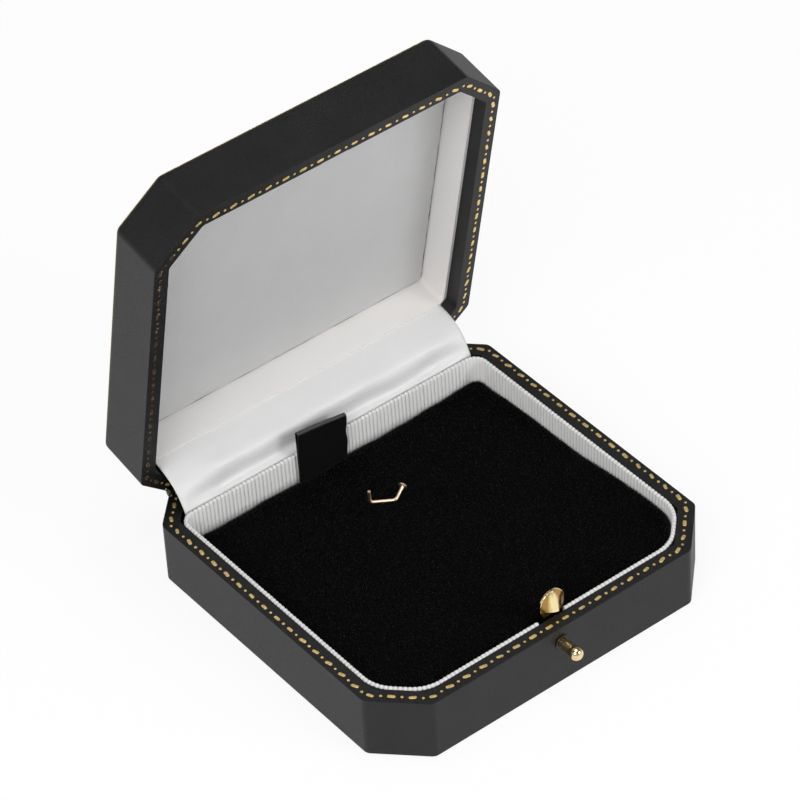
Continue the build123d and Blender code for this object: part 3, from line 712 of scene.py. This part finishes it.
def lay_on_lid(mesh, level):
    """Foil laid out on the closed lid and turned to the open one. The rim's faces down, darker at its left.
    """
    repaint(mesh, FOIL, DIM_FOIL)
    on_rim = level == LID_RIM
    for face in mesh.polygons:
        face.material_index = int(on_rim and face.center.x < DIM_FOIL_LEFT * MM)
    for vertex in mesh.vertices:
        x, y, z = (c / MM for c in vertex.co)
        if on_rim:
            z = 2 * level - z
        vertex.co = [c * MM for c in opened((x, y, z))]
    if on_rim:
        mesh.flip_normals()


def tooled_line(name, insets, level, body):
    """Dashes with a dot between each two, along one line."""
    line = [(x, y, level) for x, y in tooling_path(insets, TOOLING_END)]
    dash = foil_pattern(name + "_dash", DASH_LENGTH, DASH_WIDTH)
    dot = foil_pattern(name + "_dot", DOT_WIDTH * 1.05, DOT_WIDTH)
    sizes = {"Pitch": FOIL_PITCH / 2 * MM, "Start": TOOLING_START * MM, "Every": 2}
    sizes.update({"Size Spread": 0.09, "Turn Spread": 0.07})
    for stamp, phase, seed in ((dash, 0, 3), (dot, 1, 8)):
        piece = repeat_along(stamp.name + "es", line, stamp, FOIL, {**sizes, "Phase": phase, "Seed": seed})
        if body == "lid":
            lay_on_lid(piece.data, level)
        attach(piece, body)


ROLL_END = 40.3
ROLL_CORNER = 1.2
ROLL_SIDES = 10
ROLL_RADIUS = 0.12
ROLL_INSET = 0.09
EDGE_LINE_INSET = 0.52
EDGE_LINE_DROP = 0.46
EDGE_LINE_RADIUS = 0.09


def edge_line(name, inset, level, radius, material, body):
    """Thin roll along one of the case's eight-sided edges, open at the hinge."""
    path = bent([(x, y, level) for x, y in tooling_path([inset] * 6, ROLL_END)], ROLL_CORNER)
    if body == "lid":
        path = [opened(p) for p in path]
    roll = tube(name, path, [radius] * len(path), ROLL_SIDES, material, body)


LIP_SECTION = [(-40.85, 15.2), (-39.64, 15.2), (-39.54, 15.24), (-39.5, 15.34), (-39.5, 15.84)]
LIP_SECTION += [(-40.85, 15.84)]
LIP_HALF_WIDTH = 3.55


def rim_lip():
    """Lip of the lid's rim under the keeper, for the catch to hook over."""
    points = []
    for side in (-1, 1):
        points += [opened((CATCH_X + side * LIP_HALF_WIDTH, y, z)) for y, z in LIP_SECTION]
    count = len(LIP_SECTION)
    faces = [(k, k + count, (k + 1) % count + count, (k + 1) % count) for k in range(count)]
    faces += [tuple(range(count)), tuple(range(2 * count - 1, count - 1, -1))]
    lip = mesh_piece("lid_rim_lip", points, faces, LEATHERETTE, "lid", smooth=False)


# Ribbed trim

RIB_PITCH = 0.965
RIB_RISE = 0.2
TRIM_LEVEL = 15.0
TRIM_INSET = 0.1
TRIM_GAP_RIGHT = 3.3
RIB_ROOT = 0.2
RIB_OVERLAP = 1.04
RIB_ACROSS = [(-0.5, 0.0), (-0.38, 0.55), (-0.2, 0.9), (0.0, 1.0), (0.2, 0.9), (0.38, 0.55), (0.5, 0.0)]
RIB_BACK = (0.45, -0.45)
TRIM_SECTION = [(0.12, 14.6), (0.1, 14.95), (0.17, 15.13), (0.32, 15.2), (0.48, 15.16), (0.6, 15.03)]
TRIM_SECTION += [(0.65, 14.8), (0.66, 14.4), (0.72, 13.0), (0.78, 10.0), (0.78, 7.0)]


def trim_rib():
    """One rib of the trim: a half-round cord of satin, rolled over the bead and down the wall."""
    section = [np.array((inset, level - TRIM_LEVEL)) for inset, level in TRIM_SECTION]
    points = []
    for i, here in enumerate(section):
        before = section[max(i - 1, 0)]
        after = section[min(i + 1, len(section) - 1)]
        run = unit(after - before)
        out = np.array([-run[1], run[0]])
        for shift, rise in RIB_ACROSS:
            points.append((shift * RIB_PITCH * RIB_OVERLAP, *(here + out * rise * RIB_RISE)))
        for shift in RIB_BACK:
            points.append((shift * RIB_PITCH, *(here - out * RIB_ROOT)))
    ring = len(RIB_ACROSS) + len(RIB_BACK)
    faces = ring_faces(len(section), ring)
    faces += [tuple(range(ring - 1, -1, -1)), tuple(range((len(section) - 1) * ring, len(section) * ring))]
    mesh = plain_mesh("trim_rib", points, faces)
    mesh.polygons.foreach_set("use_smooth", [True] * len(mesh.polygons))
    rises = [rise for _, rise in RIB_ACROSS] + [0.0] * len(RIB_BACK)
    # How far each point stands out, which the trim's material turns into painted shade between the ribs.
    mark(mesh, "ridge", rises * len(section))
    return bpy.data.objects.new("trim_rib", mesh)


def ribbed_trim():
    """The trim all round the well, open at the catch."""
    outline = well(TRIM_INSET, WELL_BACK, WELL_FRONT_RADIUS, WELL_BACK_RADIUS)
    front = -WELL_HALF + TRIM_INSET
    begin = CATCH_X + TRIM_GAP_RIGHT
    end = CATCH_X - CATCH_HALF_WIDTH

    def on_front(point):
        return abs(point[1] - front) < 0.01

    kept = [p for p in outline if not (on_front(p) and end < p[0] < begin)]
    split = min((p[0], i) for i, p in enumerate(kept) if on_front(p) and p[0] >= begin)[1]
    line = [(begin, front)] + kept[split:] + kept[:split] + [(end, front)]
    sizes = {"Pitch": RIB_PITCH * MM, "Size Spread": 0.015, "Turn Spread": 0.02}
    trim = repeat_along("ribbed_trim", [(x, y, TRIM_LEVEL) for x, y in line], trim_rib(), TRIM, sizes)
    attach(trim, "base")
    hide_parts("liner_trim")


# Pads

def clamp_notch(points, inset, centre, half_width, limit, front):
    """A straight notch in one side of an outline, for what passes it."""
    moved = []
    for x, y in points:
        inside = abs(x - centre) < half_width + inset * 0.5
        if inside and front:
            y = max(y, limit + inset)
        elif inside and y > 0:
            y = min(y, limit - inset)
        moved.append((x, y))
    return moved


SLAB_RINGS = 26


def ringed_slab(outlines, levels, shape):
    """Closed slab from matching outlines, outside to inside, finished by rings drawn to the middle.

    shape gives a point's place from its outline point and level; levels holds one level for each outline.
    """
    count = len(outlines[0])
    points = []
    for outline, level in zip(outlines, levels):
        points += [shape(x, y, level) for x, y in outline]
    last = outlines[-1]
    middle = np.mean(np.array(last), axis=0)
    for k in range(1, SLAB_RINGS):
        part = 1 - k / SLAB_RINGS
        for x, y in last:
            inner = (middle[0] + (x - middle[0]) * part, middle[1] + (y - middle[1]) * part)
            points.append(shape(*inner, levels[-1]))
    points.append(shape(*middle, levels[-1]))
    rings = len(outlines) + SLAB_RINGS - 1
    start = (rings - 1) * count
    faces = ring_faces(rings, count)
    faces += [(start + k, start + (k + 1) % count, start + count) for k in range(count)]
    return points, faces


def soft_noise(x, y, size, seed):
    """Smooth, repeatable waves from -1 to 1."""
    a, b, c = seed * 1.7, seed * 2.9, seed * 4.3
    value = math.sin(x / size + a) * math.cos(y / size * 0.83 + b)
    value += 0.6 * math.sin((x * 0.7 + y) / size * 1.9 + c)
    value += 0.35 * math.sin((x - y * 1.3) / size * 3.1 + a + b)
    return value / 1.95


PILE_AT_RING = {0: 0.0, 1: 0.0, 2: 6.0, 3: 10.0, 4: 8.0, 5: 4.0, 6: 2.0}
PAD_LEVEL = 10.9
PAD_SLOPE = 0.075
PAD_INSET = 1.3
PAD_NOTCH = -36.9
PAD_SKIN = 0.1
PAD_SIDE_REACH = 16
PAD_BACK_REACH = 9
PAD_STEPS = [(0.0, -4.2), (0.0, -2.4), (0.02, -0.9), (0.12, -0.45), (0.35, -0.16), (0.7, -0.03)]
PAD_STEPS += [(1.2, 0.0), (2.2, 0.0), (3.6, 0.0)]
PAD_EDGE_PLACES = (-30.6, -21.9, -12.6, -3.2, 6.3, 15.9, 25.7, 30.7)
PAD_EDGE_RISES = (-0.1, 0.66, 0.45, -0.1, 0.37, 0.95, 1.05, 1.2)
RIBBON_LEFT = -9.6
RIBBON_RIGHT = 2.9
RIBBON_FRONT = 30.75


def velvet_pad():
    """Sloped velvet pad with soft, rounded edges and a slightly uneven pile."""
    middle = (RIBBON_LEFT + RIBBON_RIGHT) / 2
    half = (RIBBON_RIGHT - RIBBON_LEFT) / 2
    outlines = []
    for inset, _ in PAD_STEPS:
        outline = well(PAD_INSET + inset, WELL_BACK, WELL_FRONT_RADIUS, WELL_BACK_RADIUS)
        outline = clamp_notch(outline, inset, CATCH_X, CATCH_HALF_WIDTH, PAD_NOTCH, True)
        outlines.append(clamp_notch(outline, inset * 0.3, middle, half, RIBBON_FRONT, False))

    def shape(x, y, level):
        side = max(0.0, 1 - (WELL_HALF - PAD_INSET - x) / PAD_SIDE_REACH) ** 2
        fading = 1 - max(0.0, (y - 22) / 10) * 0.8
        right = np.interp(y, PAD_EDGE_PLACES, PAD_EDGE_RISES) * side * fading
        lifted = 0.5 * soft_noise(x, 0, 4.2, 6) + 0.9 * min(1.0, max(0.0, (x - 20) / 12))
        back = lifted * max(0.0, 1 - (WELL_BACK - PAD_INSET - y) / PAD_BACK_REACH) ** 2
        crown = 0.14 * soft_noise(x, y, 6.0, 2)
        rise = right + back + crown if level > -1 else 0
        return x, y, PAD_LEVEL - PAD_SLOPE * y + level + rise - PAD_SKIN

    points, faces = ringed_slab(outlines, [level for _, level in PAD_STEPS], shape)
    pad = mesh_piece("velvet_pad", points, faces, VELVET, "pad")
    around = len(outlines[0])
    thickness = [PILE_AT_RING.get(min(i // around, len(PAD_STEPS)), 1.0) for i in range(len(points))]
    for i, (x, y, _) in enumerate(points):
        if abs(x - CATCH_X) < CATCH_HALF_WIDTH + 1.5 and y < PAD_NOTCH + 2:
            thickness[i] = 0.0
    mark(pad.data, "pile", thickness)
    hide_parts("pad_velvet")
    return pad


PILE_DENSITY = 4.5e6
PILE_LENGTH = 0.46
PILE_RADIUS = 0.045
PILE_LEAN = 0.75
PILE_SPREAD = 0.5
PILE_SEED = 11


def pile_fibre():
    """One tuft of the velvet's pile: a fine, three-sided cone."""
    points = [(0, 0, PILE_LENGTH)]
    for k in range(3):
        turn = 2 * math.pi * k / 3
        points.append((math.cos(turn) * PILE_RADIUS, math.sin(turn) * PILE_RADIUS, 0))
    mesh = plain_mesh("pile_fibre", points, [(0, 1, 2), (0, 2, 3), (0, 3, 1), (3, 2, 1)])
    return bpy.data.objects.new("pile_fibre", mesh)


def pile_on_surface(fibre):
    """Tree that stands tufts on a surface. Inputs: Density, Lean, Size Spread, Seed."""
    tree = Copies("velvet_pile", {"Density": 1e6, "Lean": 0.6, "Size Spread": 0.3}, {"Seed": 1})
    given = tree.given
    seed, lean = given.out("Seed"), given.out("Lean")
    thick = tree.node("GeometryNodeInputNamedAttribute", None, {"Name": "pile"}, output="Attribute")
    growth = {"Mesh": given, "Density": thick * given.out("Density"), "Seed": seed}
    spots = tree.node("GeometryNodeDistributePointsOnFaces", None, growth)
    limits = {"Seed": seed}
    for socket, sign in ((0, -1), (1, 1)):
        scaled = {0: (sign, sign, sign), "Scale": lean}
        limits[socket] = tree.node("ShaderNodeVectorMath", {"operation": "SCALE"}, scaled)
    angles = tree.node("FunctionNodeRandomValue", {"data_type": "FLOAT_VECTOR"}, limits)
    sockets = {"Points": spots, "Rotation": tree.turned(spots.out("Rotation"), angles)}
    sockets["Scale"] = tree.random(1 - given.out("Size Spread"), 1)
    tree.stand(fibre, PILE, sockets)
    return tree


def velvet_pile(pad):
    """Short pile over the pad's top and its rolled edges, as one plain mesh."""
    ground = placed("pile_ground", pad.data.copy())
    sizes = {"Density": PILE_DENSITY, "Lean": PILE_LEAN, "Size Spread": PILE_SPREAD, "Seed": PILE_SEED}
    pile = pile_on_surface(pile_fibre()).run("velvet_pile", ground, sizes)
    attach(pile, "pad")


PANEL_INSET = 0.8
PANEL_RADIUS = 1.6
PANEL_BACKING = 27.2
PANEL_STEPS = [(0.0, 0.0), (0.0, 0.75), (0.12, 0.95), (0.4, 1.1), (0.9, 1.2), (1.8, 1.27), (3.2, 1.3)]


def lid_panel():
    """Padded satin panel in the lid's ceiling, with a slightly wavy edge."""
    insets = [PANEL_INSET + inset for inset, _ in PANEL_STEPS]
    outlines = [well(inset, LID_WELL_BACK, PANEL_RADIUS, PANEL_RADIUS) for inset in insets]

    def shape(x, y, level):
        edge = min(WELL_HALF - PANEL_INSET - abs(x), y + WELL_HALF - PANEL_INSET)
        edge = min(edge, LID_WELL_BACK - PANEL_INSET - y)
        near_edge = max(0.0, 1 - edge / 4)
        wave = near_edge * (0.1 * soft_noise(x * 1.3, y * 1.3, 2.6, 5) - 0.12) * min(1, level)
        crown = 0.16 * min(1.0, max(edge, 0) / 12) * (1 + 0.5 * soft_noise(x, y, 9.0, 3)) * min(1, level)
        return opened((x, y, PANEL_BACKING - level - crown + wave))

    points, faces = ringed_slab(outlines, [level for _, level in PANEL_STEPS], shape)
    panel = mesh_piece("lid_panel", points, [face[::-1] for face in faces], SHADED_PANEL_SATIN, "lid")
    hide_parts("lid_panel_satin")


# Satin gusset

GUSSET_LEFT = -37.2
GUSSET_RIGHT = 38.0
GUSSET_COLUMNS = 150
GUSSET_ROWS = 24
GUSSET_BOW = 1.7
GUSSET_THICKNESS = 0.2


def gusset_section():
    """Points of the gusset's section in (y, z), from the base's cross wall to the lid's."""
    start = np.array([WELL_BACK + 0.25, BASE_RIM - 0.6])
    lid_end = opened((0, LID_WELL_BACK - 0.15, LID_RIM + 3.4 + 0.4))
    end = np.array([lid_end[1], lid_end[2]])
    top = np.array([WELL_BACK + 0.45, BASE_RIM + 0.3])
    run = end - top
    normal = np.array([-run[1], run[0]]) / np.linalg.norm(run)
    line = [start]
    for k in range(GUSSET_ROWS + 1):
        part = k / GUSSET_ROWS
        line.append(top + run * part + normal * GUSSET_BOW * math.sin(math.pi * part))
    return line


def gusset_fold(x, part):
    """The gusset's fold at a place: a shaded valley along the trim under a fuller roll of satin."""
    ends = min(1.0, max(0.0, (x - GUSSET_LEFT - 1.5) / 9)) * min(1.0, max(0.0, (GUSSET_RIGHT - x) / 10))
    depth = 1.0 + 0.4 * soft_noise(x, 0, 6.5, 3)
    valley = math.exp(-((part - 0.15 - 0.04 * soft_noise(x, 1, 8.0, 9)) / 0.1) ** 2)
    roll = math.exp(-((part - 0.42) / 0.16) ** 2)
    return ends * depth * (0.85 * roll - 1.55 * valley)


def satin_gusset():
    """White satin over the hinge, tacked to both cross walls and bowed between them."""
    section = gusset_section()
    points = []
    for r, (y, z) in enumerate(section):
        part = r / (len(section) - 1)
        looseness = math.sin(math.pi * part)
        for k in range(GUSSET_COLUMNS + 1):
            x = GUSSET_LEFT + (GUSSET_RIGHT - GUSSET_LEFT) * k / GUSSET_COLUMNS
            pull = soft_noise(x, part * 9, 5.5, 4) * 0.22 + soft_noise(x, part * 5, 2.1, 7) * 0.08
            lift = pull * looseness + gusset_fold(x, part)
            points.append((x, y - 0.64 * lift, z + 0.77 * lift))
    faces = sheet_faces(len(section) - 1, GUSSET_COLUMNS)
    gusset = mesh_piece("satin_gusset", points, faces, GUSSET_SATIN, None)
    steps = [np.linalg.norm(b - a) for a, b in zip(section, section[1:])]
    along = np.concatenate([[0], np.cumsum(steps)])
    cloth = gusset.data.uv_layers.new(name="cloth")
    for loop in gusset.data.loops:
        row = loop.vertex_index // (GUSSET_COLUMNS + 1)
        cloth.data[loop.index].uv = (points[loop.vertex_index][0] / UV_SPAN, along[row] / UV_SPAN)
    thicken(gusset, GUSSET_THICKNESS)
    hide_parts("hinge_gusset")
    section[1][0] * MM
    section[1][1] * MM
    section[-1][0] * MM
    section[-1][1] * MM
    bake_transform(gusset)


def thicken(piece, thickness):
    """A wall for a sheet, half to each side, applied to its mesh."""
    solid = piece.modifiers.new("wall", "SOLIDIFY")
    solid.thickness = thickness * MM
    solid.offset = 0.0
    bpy.context.view_layer.objects.active = piece
    piece.select_set(True)
    bpy.ops.object.modifier_apply(modifier="wall")
    piece.select_set(False)


# Ribbon tab

RIBBON_TOP_LEFT = 21.8
RIBBON_TOP_RIGHT = 20.3
RIBBON_THICKNESS = 0.2
RIBBON_FOLD = 0.5
RIBBON_MIDDLE = 31.1
RIBBON_FOOT = 6.0
RIBBON_COLUMNS = 28
RIBBON_LEG_ROWS = 26
RIBBON_FOLD_ROWS = 10
RIBBON_GAP = 0.16


def ribbon_tab():
    """Black satin ribbon, folded double into a loop that stands behind the pad."""
    leg, fold, columns = RIBBON_LEG_ROWS, RIBBON_FOLD_ROWS, RIBBON_COLUMNS
    points = []
    for r in range(2 * leg + fold + 1):
        for k in range(columns + 1):
            across = k / columns
            top = RIBBON_TOP_LEFT + (RIBBON_TOP_RIGHT - RIBBON_TOP_LEFT) * across - RIBBON_FOLD
            if r <= leg:
                front, z = 1.0, RIBBON_FOOT + (top - RIBBON_FOOT) * r / leg
            elif r >= leg + fold:
                front, z = -1.0, RIBBON_FOOT + (top - RIBBON_FOOT) * (2 * leg + fold - r) / leg
            else:
                turn = math.pi * (r - leg) / fold
                front, z = math.cos(turn), top + RIBBON_FOLD * math.sin(turn)
            free = max(0.0, min(1.0, (z - 12) / 9))
            gap = RIBBON_GAP + (RIBBON_FOLD - RIBBON_GAP) * free ** 3
            y = RIBBON_MIDDLE + 0.2 * free - gap * front + 0.16 * free * math.sin(across * 3.4 + 0.5)
            left = RIBBON_LEFT + 0.2 * free ** 2
            right = RIBBON_RIGHT + 0.1 * free + 0.14 * math.sin(z * 1.1)
            points.append((left + (right - left) * across, y, z))
    ribbon = mesh_piece("ribbon_loop", points, sheet_faces(2 * leg + fold, columns), RIBBON, "pad")
    rows = [i // (columns + 1) for i in range(len(points))]
    # Where the fold lies, which the ribbon's material turns into a painted highlight.
    mark(ribbon.data, "fold", [max(0.0, 1 - abs(r - leg - fold / 2) / (fold / 2)) for r in rows])
    thicken(ribbon, RIBBON_THICKNESS)
    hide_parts("ribbon_tab")


# Metal pieces

HOOK_CORNERS = [(-3.45, 15.4, 13.0), (-3.45, 15.3, 10.0), (0.85, 12.05, 10.3), (3.67, 13.41, 11.36)]
HOOK_WIRE = 0.36
HOOK_CAP = [(0.0, 0.5), (0.05, 0.8), (0.13, 0.94), (0.26, 0.95), (0.45, 0.84), (0.6, 0.6), (0.7, 0.3)]
HOOK_CAP += [(0.73, 0)]
HOOK_TIP = [(0.12, 0), (0.1, 0.18), (0.04, 0.29)]
HOOK_NECK = 0.44
SHANK_RADIUS = 0.3


def hook():
    """Gilt wire hook: a prong, a run along the velvet, and an arm that ends in a domed cap."""
    path = bent(HOOK_CORNERS, 0.75)
    radii = [HOOK_WIRE] * len(path)
    for i, at in enumerate(path):
        near = min(np.linalg.norm(at - np.array(c)) for c in HOOK_CORNERS[1:3])
        radii[i] = HOOK_WIRE + 0.06 * max(0.0, 1 - near / 0.6)
    tip = path[0]
    path = [tip + np.array((0, 0, rise)) for rise, _ in HOOK_TIP] + path
    radii = [radius for _, radius in HOOK_TIP] + radii
    arm = unit(path[-1] - path[-2])
    end = path[-1]
    path.insert(-1, end - arm * 0.8)
    radii.insert(-1, HOOK_WIRE)
    radii[-1] = HOOK_NECK
    for along, radius in HOOK_CAP:
        path.append(end + arm * along)
        radii.append(radius)
    wire = tube("hook_wire", path, radii, 24, GILT, "pad", sharp=50)
    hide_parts("pendant_hook")
    shank_top = (np.array(HOOK_CORNERS[1]) + np.array(HOOK_CORNERS[2])) / 2
    shank_path = [shank_top + np.array((0, 0, -0.1)), shank_top + np.array((0, 0, -2.2))]
    shank = tube("hook_shank", shank_path, [SHANK_RADIUS] * 2, 16, GILT, "pad")


BUTTON_X = -0.7
BUTTON_Z = 11.2
BALL_Y = -47.4
BALL_RADIUS = 1.48
SHOULDER_RADIUS = 1.26
STEM_PROFILE = [(-46.0, 1.24), (-44.2, 1.26), (-44.08, 1.18), (-44.08, 1.0), (-39.42, 1.0), (-39.42, 1.4)]
STEM_PROFILE += [(-39.32, 1.4), (-39.17, 0.5)]


def button():
    """Turned brass push button: a ball on a shouldered stem, with its coned head inside."""
    profile = []
    last = math.pi - math.asin(SHOULDER_RADIUS / BALL_RADIUS)
    for k in range(21):
        turn = last * k / 20
        profile.append((BALL_Y - BALL_RADIUS * math.cos(turn), BALL_RADIUS * math.sin(turn)))
    profile += STEM_PROFILE
    path = [(BUTTON_X, y, BUTTON_Z) for y, _ in profile]
    turned = tube("turned_button", path, [r for _, r in profile], 48, BRASS, "button", sharp=30)
    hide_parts("push_button")


TONGUE_FRONT = -39.05
TONGUE_BACK = -38.55
TONGUE_FOOT = 2.7
TONGUE_TOP = 21.6
TONGUE_HALF = 2.5
TONGUE_HEAD_HALF = 3.0
HOOD_FOOT = 17.2
HOOD_TOP = 21.45
HOOD_HALF = 2.8
HOOD_REACH = 1.75
SHOULDER_FOOT = 15.9
SHOULDER_RISE = 0.9


def tongue_half_width(z):
    """Half the tongue's width at a level: a straight leg, a shoulder and a round head."""
    centre = TONGUE_TOP - TONGUE_HEAD_HALF
    if z > centre:
        return math.sqrt(max(TONGUE_HEAD_HALF ** 2 - (z - centre) ** 2, 0.0004))
    part = min(1.0, max(0.0, (z - SHOULDER_FOOT) / SHOULDER_RISE))
    return TONGUE_HALF + (TONGUE_HEAD_HALF - TONGUE_HALF) * part


def hood_reach(x, z):
    """How far the pressed hood stands out of the tongue's face."""
    part = (z - HOOD_FOOT) / (HOOD_TOP - HOOD_FOOT)
    half = min(HOOD_HALF * (1 - 0.12 * part), tongue_half_width(z) * 0.96)
    if part >= 1 or abs(x) >= half:
        return 0.0
    return HOOD_REACH * (1 - part) ** 0.8 * (1 - abs(x / half) ** 1.35) ** 1.1


def tongue():
    """Sprung brass tongue, whose round head is pressed out into a hood with a sharp lower edge."""
    levels = [(z, False) for z in (TONGUE_FOOT, 9.0, SHOULDER_FOOT, 16.35, 16.8, 17.19)]
    levels += [(HOOD_FOOT + 0.01 + (TONGUE_TOP - 0.02 - HOOD_FOOT) * k / 30, True) for k in range(31)]
    columns = 40
    points = []
    ridge = []
    for side in (-1, 1):
        for z, hooded in levels:
            half = tongue_half_width(z)
            for k in range(columns + 1):
                across = math.sin(math.pi * (k / columns - 0.5))
                x = half * across
                edge = 0.07 * max(0.0, abs(across) - 0.97) / 0.03
                front = TONGUE_FRONT - (hood_reach(x, z) if hooded else 0) + edge
                points.append((CATCH_X + x, front if side < 0 else TONGUE_BACK - edge, z))
                rim = max(0.0, (abs(across) - 0.9) / 0.1)
                # Painted highlight: the hood's ridge and edges are marked light, and its flanks and the leg
                # below are marked dark.
                ridge.append(max(math.exp(-((across + 0.1) / 0.4) ** 2), rim) if hooded else 0.25)
    width, rows = columns + 1, len(levels)
    back = rows * width
    faces = []
    for r in range(rows - 1):
        left, right = r * width, r * width + columns
        for a in range(left, right):
            faces.append((a, a + 1, a + width + 1, a + width))
            faces.append((a + back, a + back + width, a + back + width + 1, a + back + 1))
        faces.append((left, left + width, left + back + width, left + back))
        faces.append((right, right + back, right + back + width, right + width))
    for k in range(columns):
        a = back - width + k
        faces.append((k, back + k, back + k + 1, k + 1))
        faces.append((a, a + 1, a + back + 1, a + back))
    piece = mesh_piece("pressed_tongue", points, faces, ROLLED_BRASS, "catch")
    mark(piece.data, "ridge", ridge)
    piece.data.set_sharp_from_angle(angle=math.radians(38))
    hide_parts("catch_tongue")


# Camera, floor and light

CAMERA_PLACE = (-397.0, -536.2, 630.5)
CAMERA_TARGET = (21.1, 36.3, 10.0)
CAMERA_ROLL = math.radians(-3.42)
CAMERA_LENS = 200.46
FLOOR_HALF = 3000.0
FLOOR_DROP = 0.1
PAPER_GLOW = 1.03
GLOW_SHARE = 0.86
SKY_STRENGTH = 0.5
LAMP_TARGET = (0, 0.01, 0.04)


def camera():
    """The photograph's camera, found from the box's own corners."""
    data = bpy.data.cameras.new("camera")
    data.lens = CAMERA_LENS
    data.sensor_width = 36
    data.clip_end = 20
    seen = placed("camera", data)
    aim = Vector(CAMERA_TARGET) - Vector(CAMERA_PLACE)
    turn = aim.to_track_quat("-Z", "Y").to_matrix().to_4x4() @ Matrix.Rotation(CAMERA_ROLL, 4, "Z")
    turn.translation = Vector(CAMERA_PLACE) * MM
    seen.matrix_world = turn
    bpy.context.scene.camera = seen


def area_light(name, place, size, power):
    """Square soft box at a place in metres, aimed at the box."""
    data = bpy.data.lights.new(name, "AREA")
    data.shape = "RECTANGLE"
    data.size, data.size_y = size, size
    data.energy = power
    lamp = placed(name, data)
    lamp.location = place
    lamp.rotation_euler = (Vector(LAMP_TARGET) - Vector(place)).to_track_quat("-Z", "Y").to_euler()


def stage():
    """White floor that keeps the box's shadow, under a sky that is pale low down and darker overhead."""
    corners = [(x * FLOOR_HALF, y * FLOOR_HALF, -FLOOR_DROP) for x, y in ((-1, -1), (1, -1), (1, 1), (-1, 1))]
    floor = placed("floor", plain_mesh("floor", corners, [(0, 1, 2, 3)]))
    paper = Finish("white_paper", (0.86, 0.86, 0.86), 0.9, specular=0.1)
    rays = paper.node("ShaderNodeLightPath")
    seen = rays.out("Is Camera Ray") + rays.out("Is Glossy Ray") + rays.out("Is Transmission Ray")
    glow = paper.node("ShaderNodeEmission", None, {"Color": (1, 1, 1, 1), "Strength": PAPER_GLOW})
    shader = Value(paper, paper.shader.outputs[0])
    mixed = paper.node("ShaderNodeMixShader", None, {0: seen * GLOW_SHARE, 1: shader, 2: glow})
    paper.feed(paper.tree.nodes["Material Output"].inputs["Surface"], mixed)
    floor.data.materials.append(paper.material)
    world = bpy.data.worlds.new("world")
    bpy.context.scene.world = world
    world.use_nodes = True
    sky = Tree(world.node_tree)
    view = sky.node("ShaderNodeTexCoord", output="Generated")
    height = sky.node("ShaderNodeSeparateXYZ", None, {0: view}, output="Z")
    background = world.node_tree.nodes["Background"]
    sky.feed(background.inputs["Color"], sky.ramp(height, 0.22, 0.6, 1.0, 0.3))
    sky.feed(background.inputs["Strength"], SKY_STRENGTH)


def lights():
    """A broad key from the left, a weaker fill from the front right, and light from above."""
    area_light("key", (-0.75, -0.45, 0.75), 0.6, 6.0)
    area_light("fill", (0.45, -0.85, 0.55), 0.4, 4.0)
    area_light("top", (0.0, 0.0, 1.0), 0.7, 3.0)


dress_cad_nodes()
tooled_line("base_tooling", BASE_TOOLING_INSETS, BASE_RIM, "base")
tooled_line("lid_tooling", LID_TOOLING_INSETS, LID_RIM, "lid")
tooled_line("lid_top_tooling", TOP_TOOLING_INSETS, LID_TOP, "lid")
edge_line("base_rim_roll", ROLL_INSET, BASE_RIM - ROLL_INSET, ROLL_RADIUS, LEATHERETTE, "base")
edge_line("lid_rim_roll", ROLL_INSET, LID_RIM + ROLL_INSET, ROLL_RADIUS, LEATHERETTE, "lid")
edge_line("lid_edge_line", EDGE_LINE_INSET, LID_TOP - EDGE_LINE_DROP, EDGE_LINE_RADIUS, FOIL, "lid")
rim_lip()
ribbed_trim()
velvet_pile(velvet_pad())
lid_panel()
satin_gusset()
ribbon_tab()
hook()
button()
tongue()
stage()
lights()
camera()
bpy.context.scene.view_settings.view_transform = "Standard"
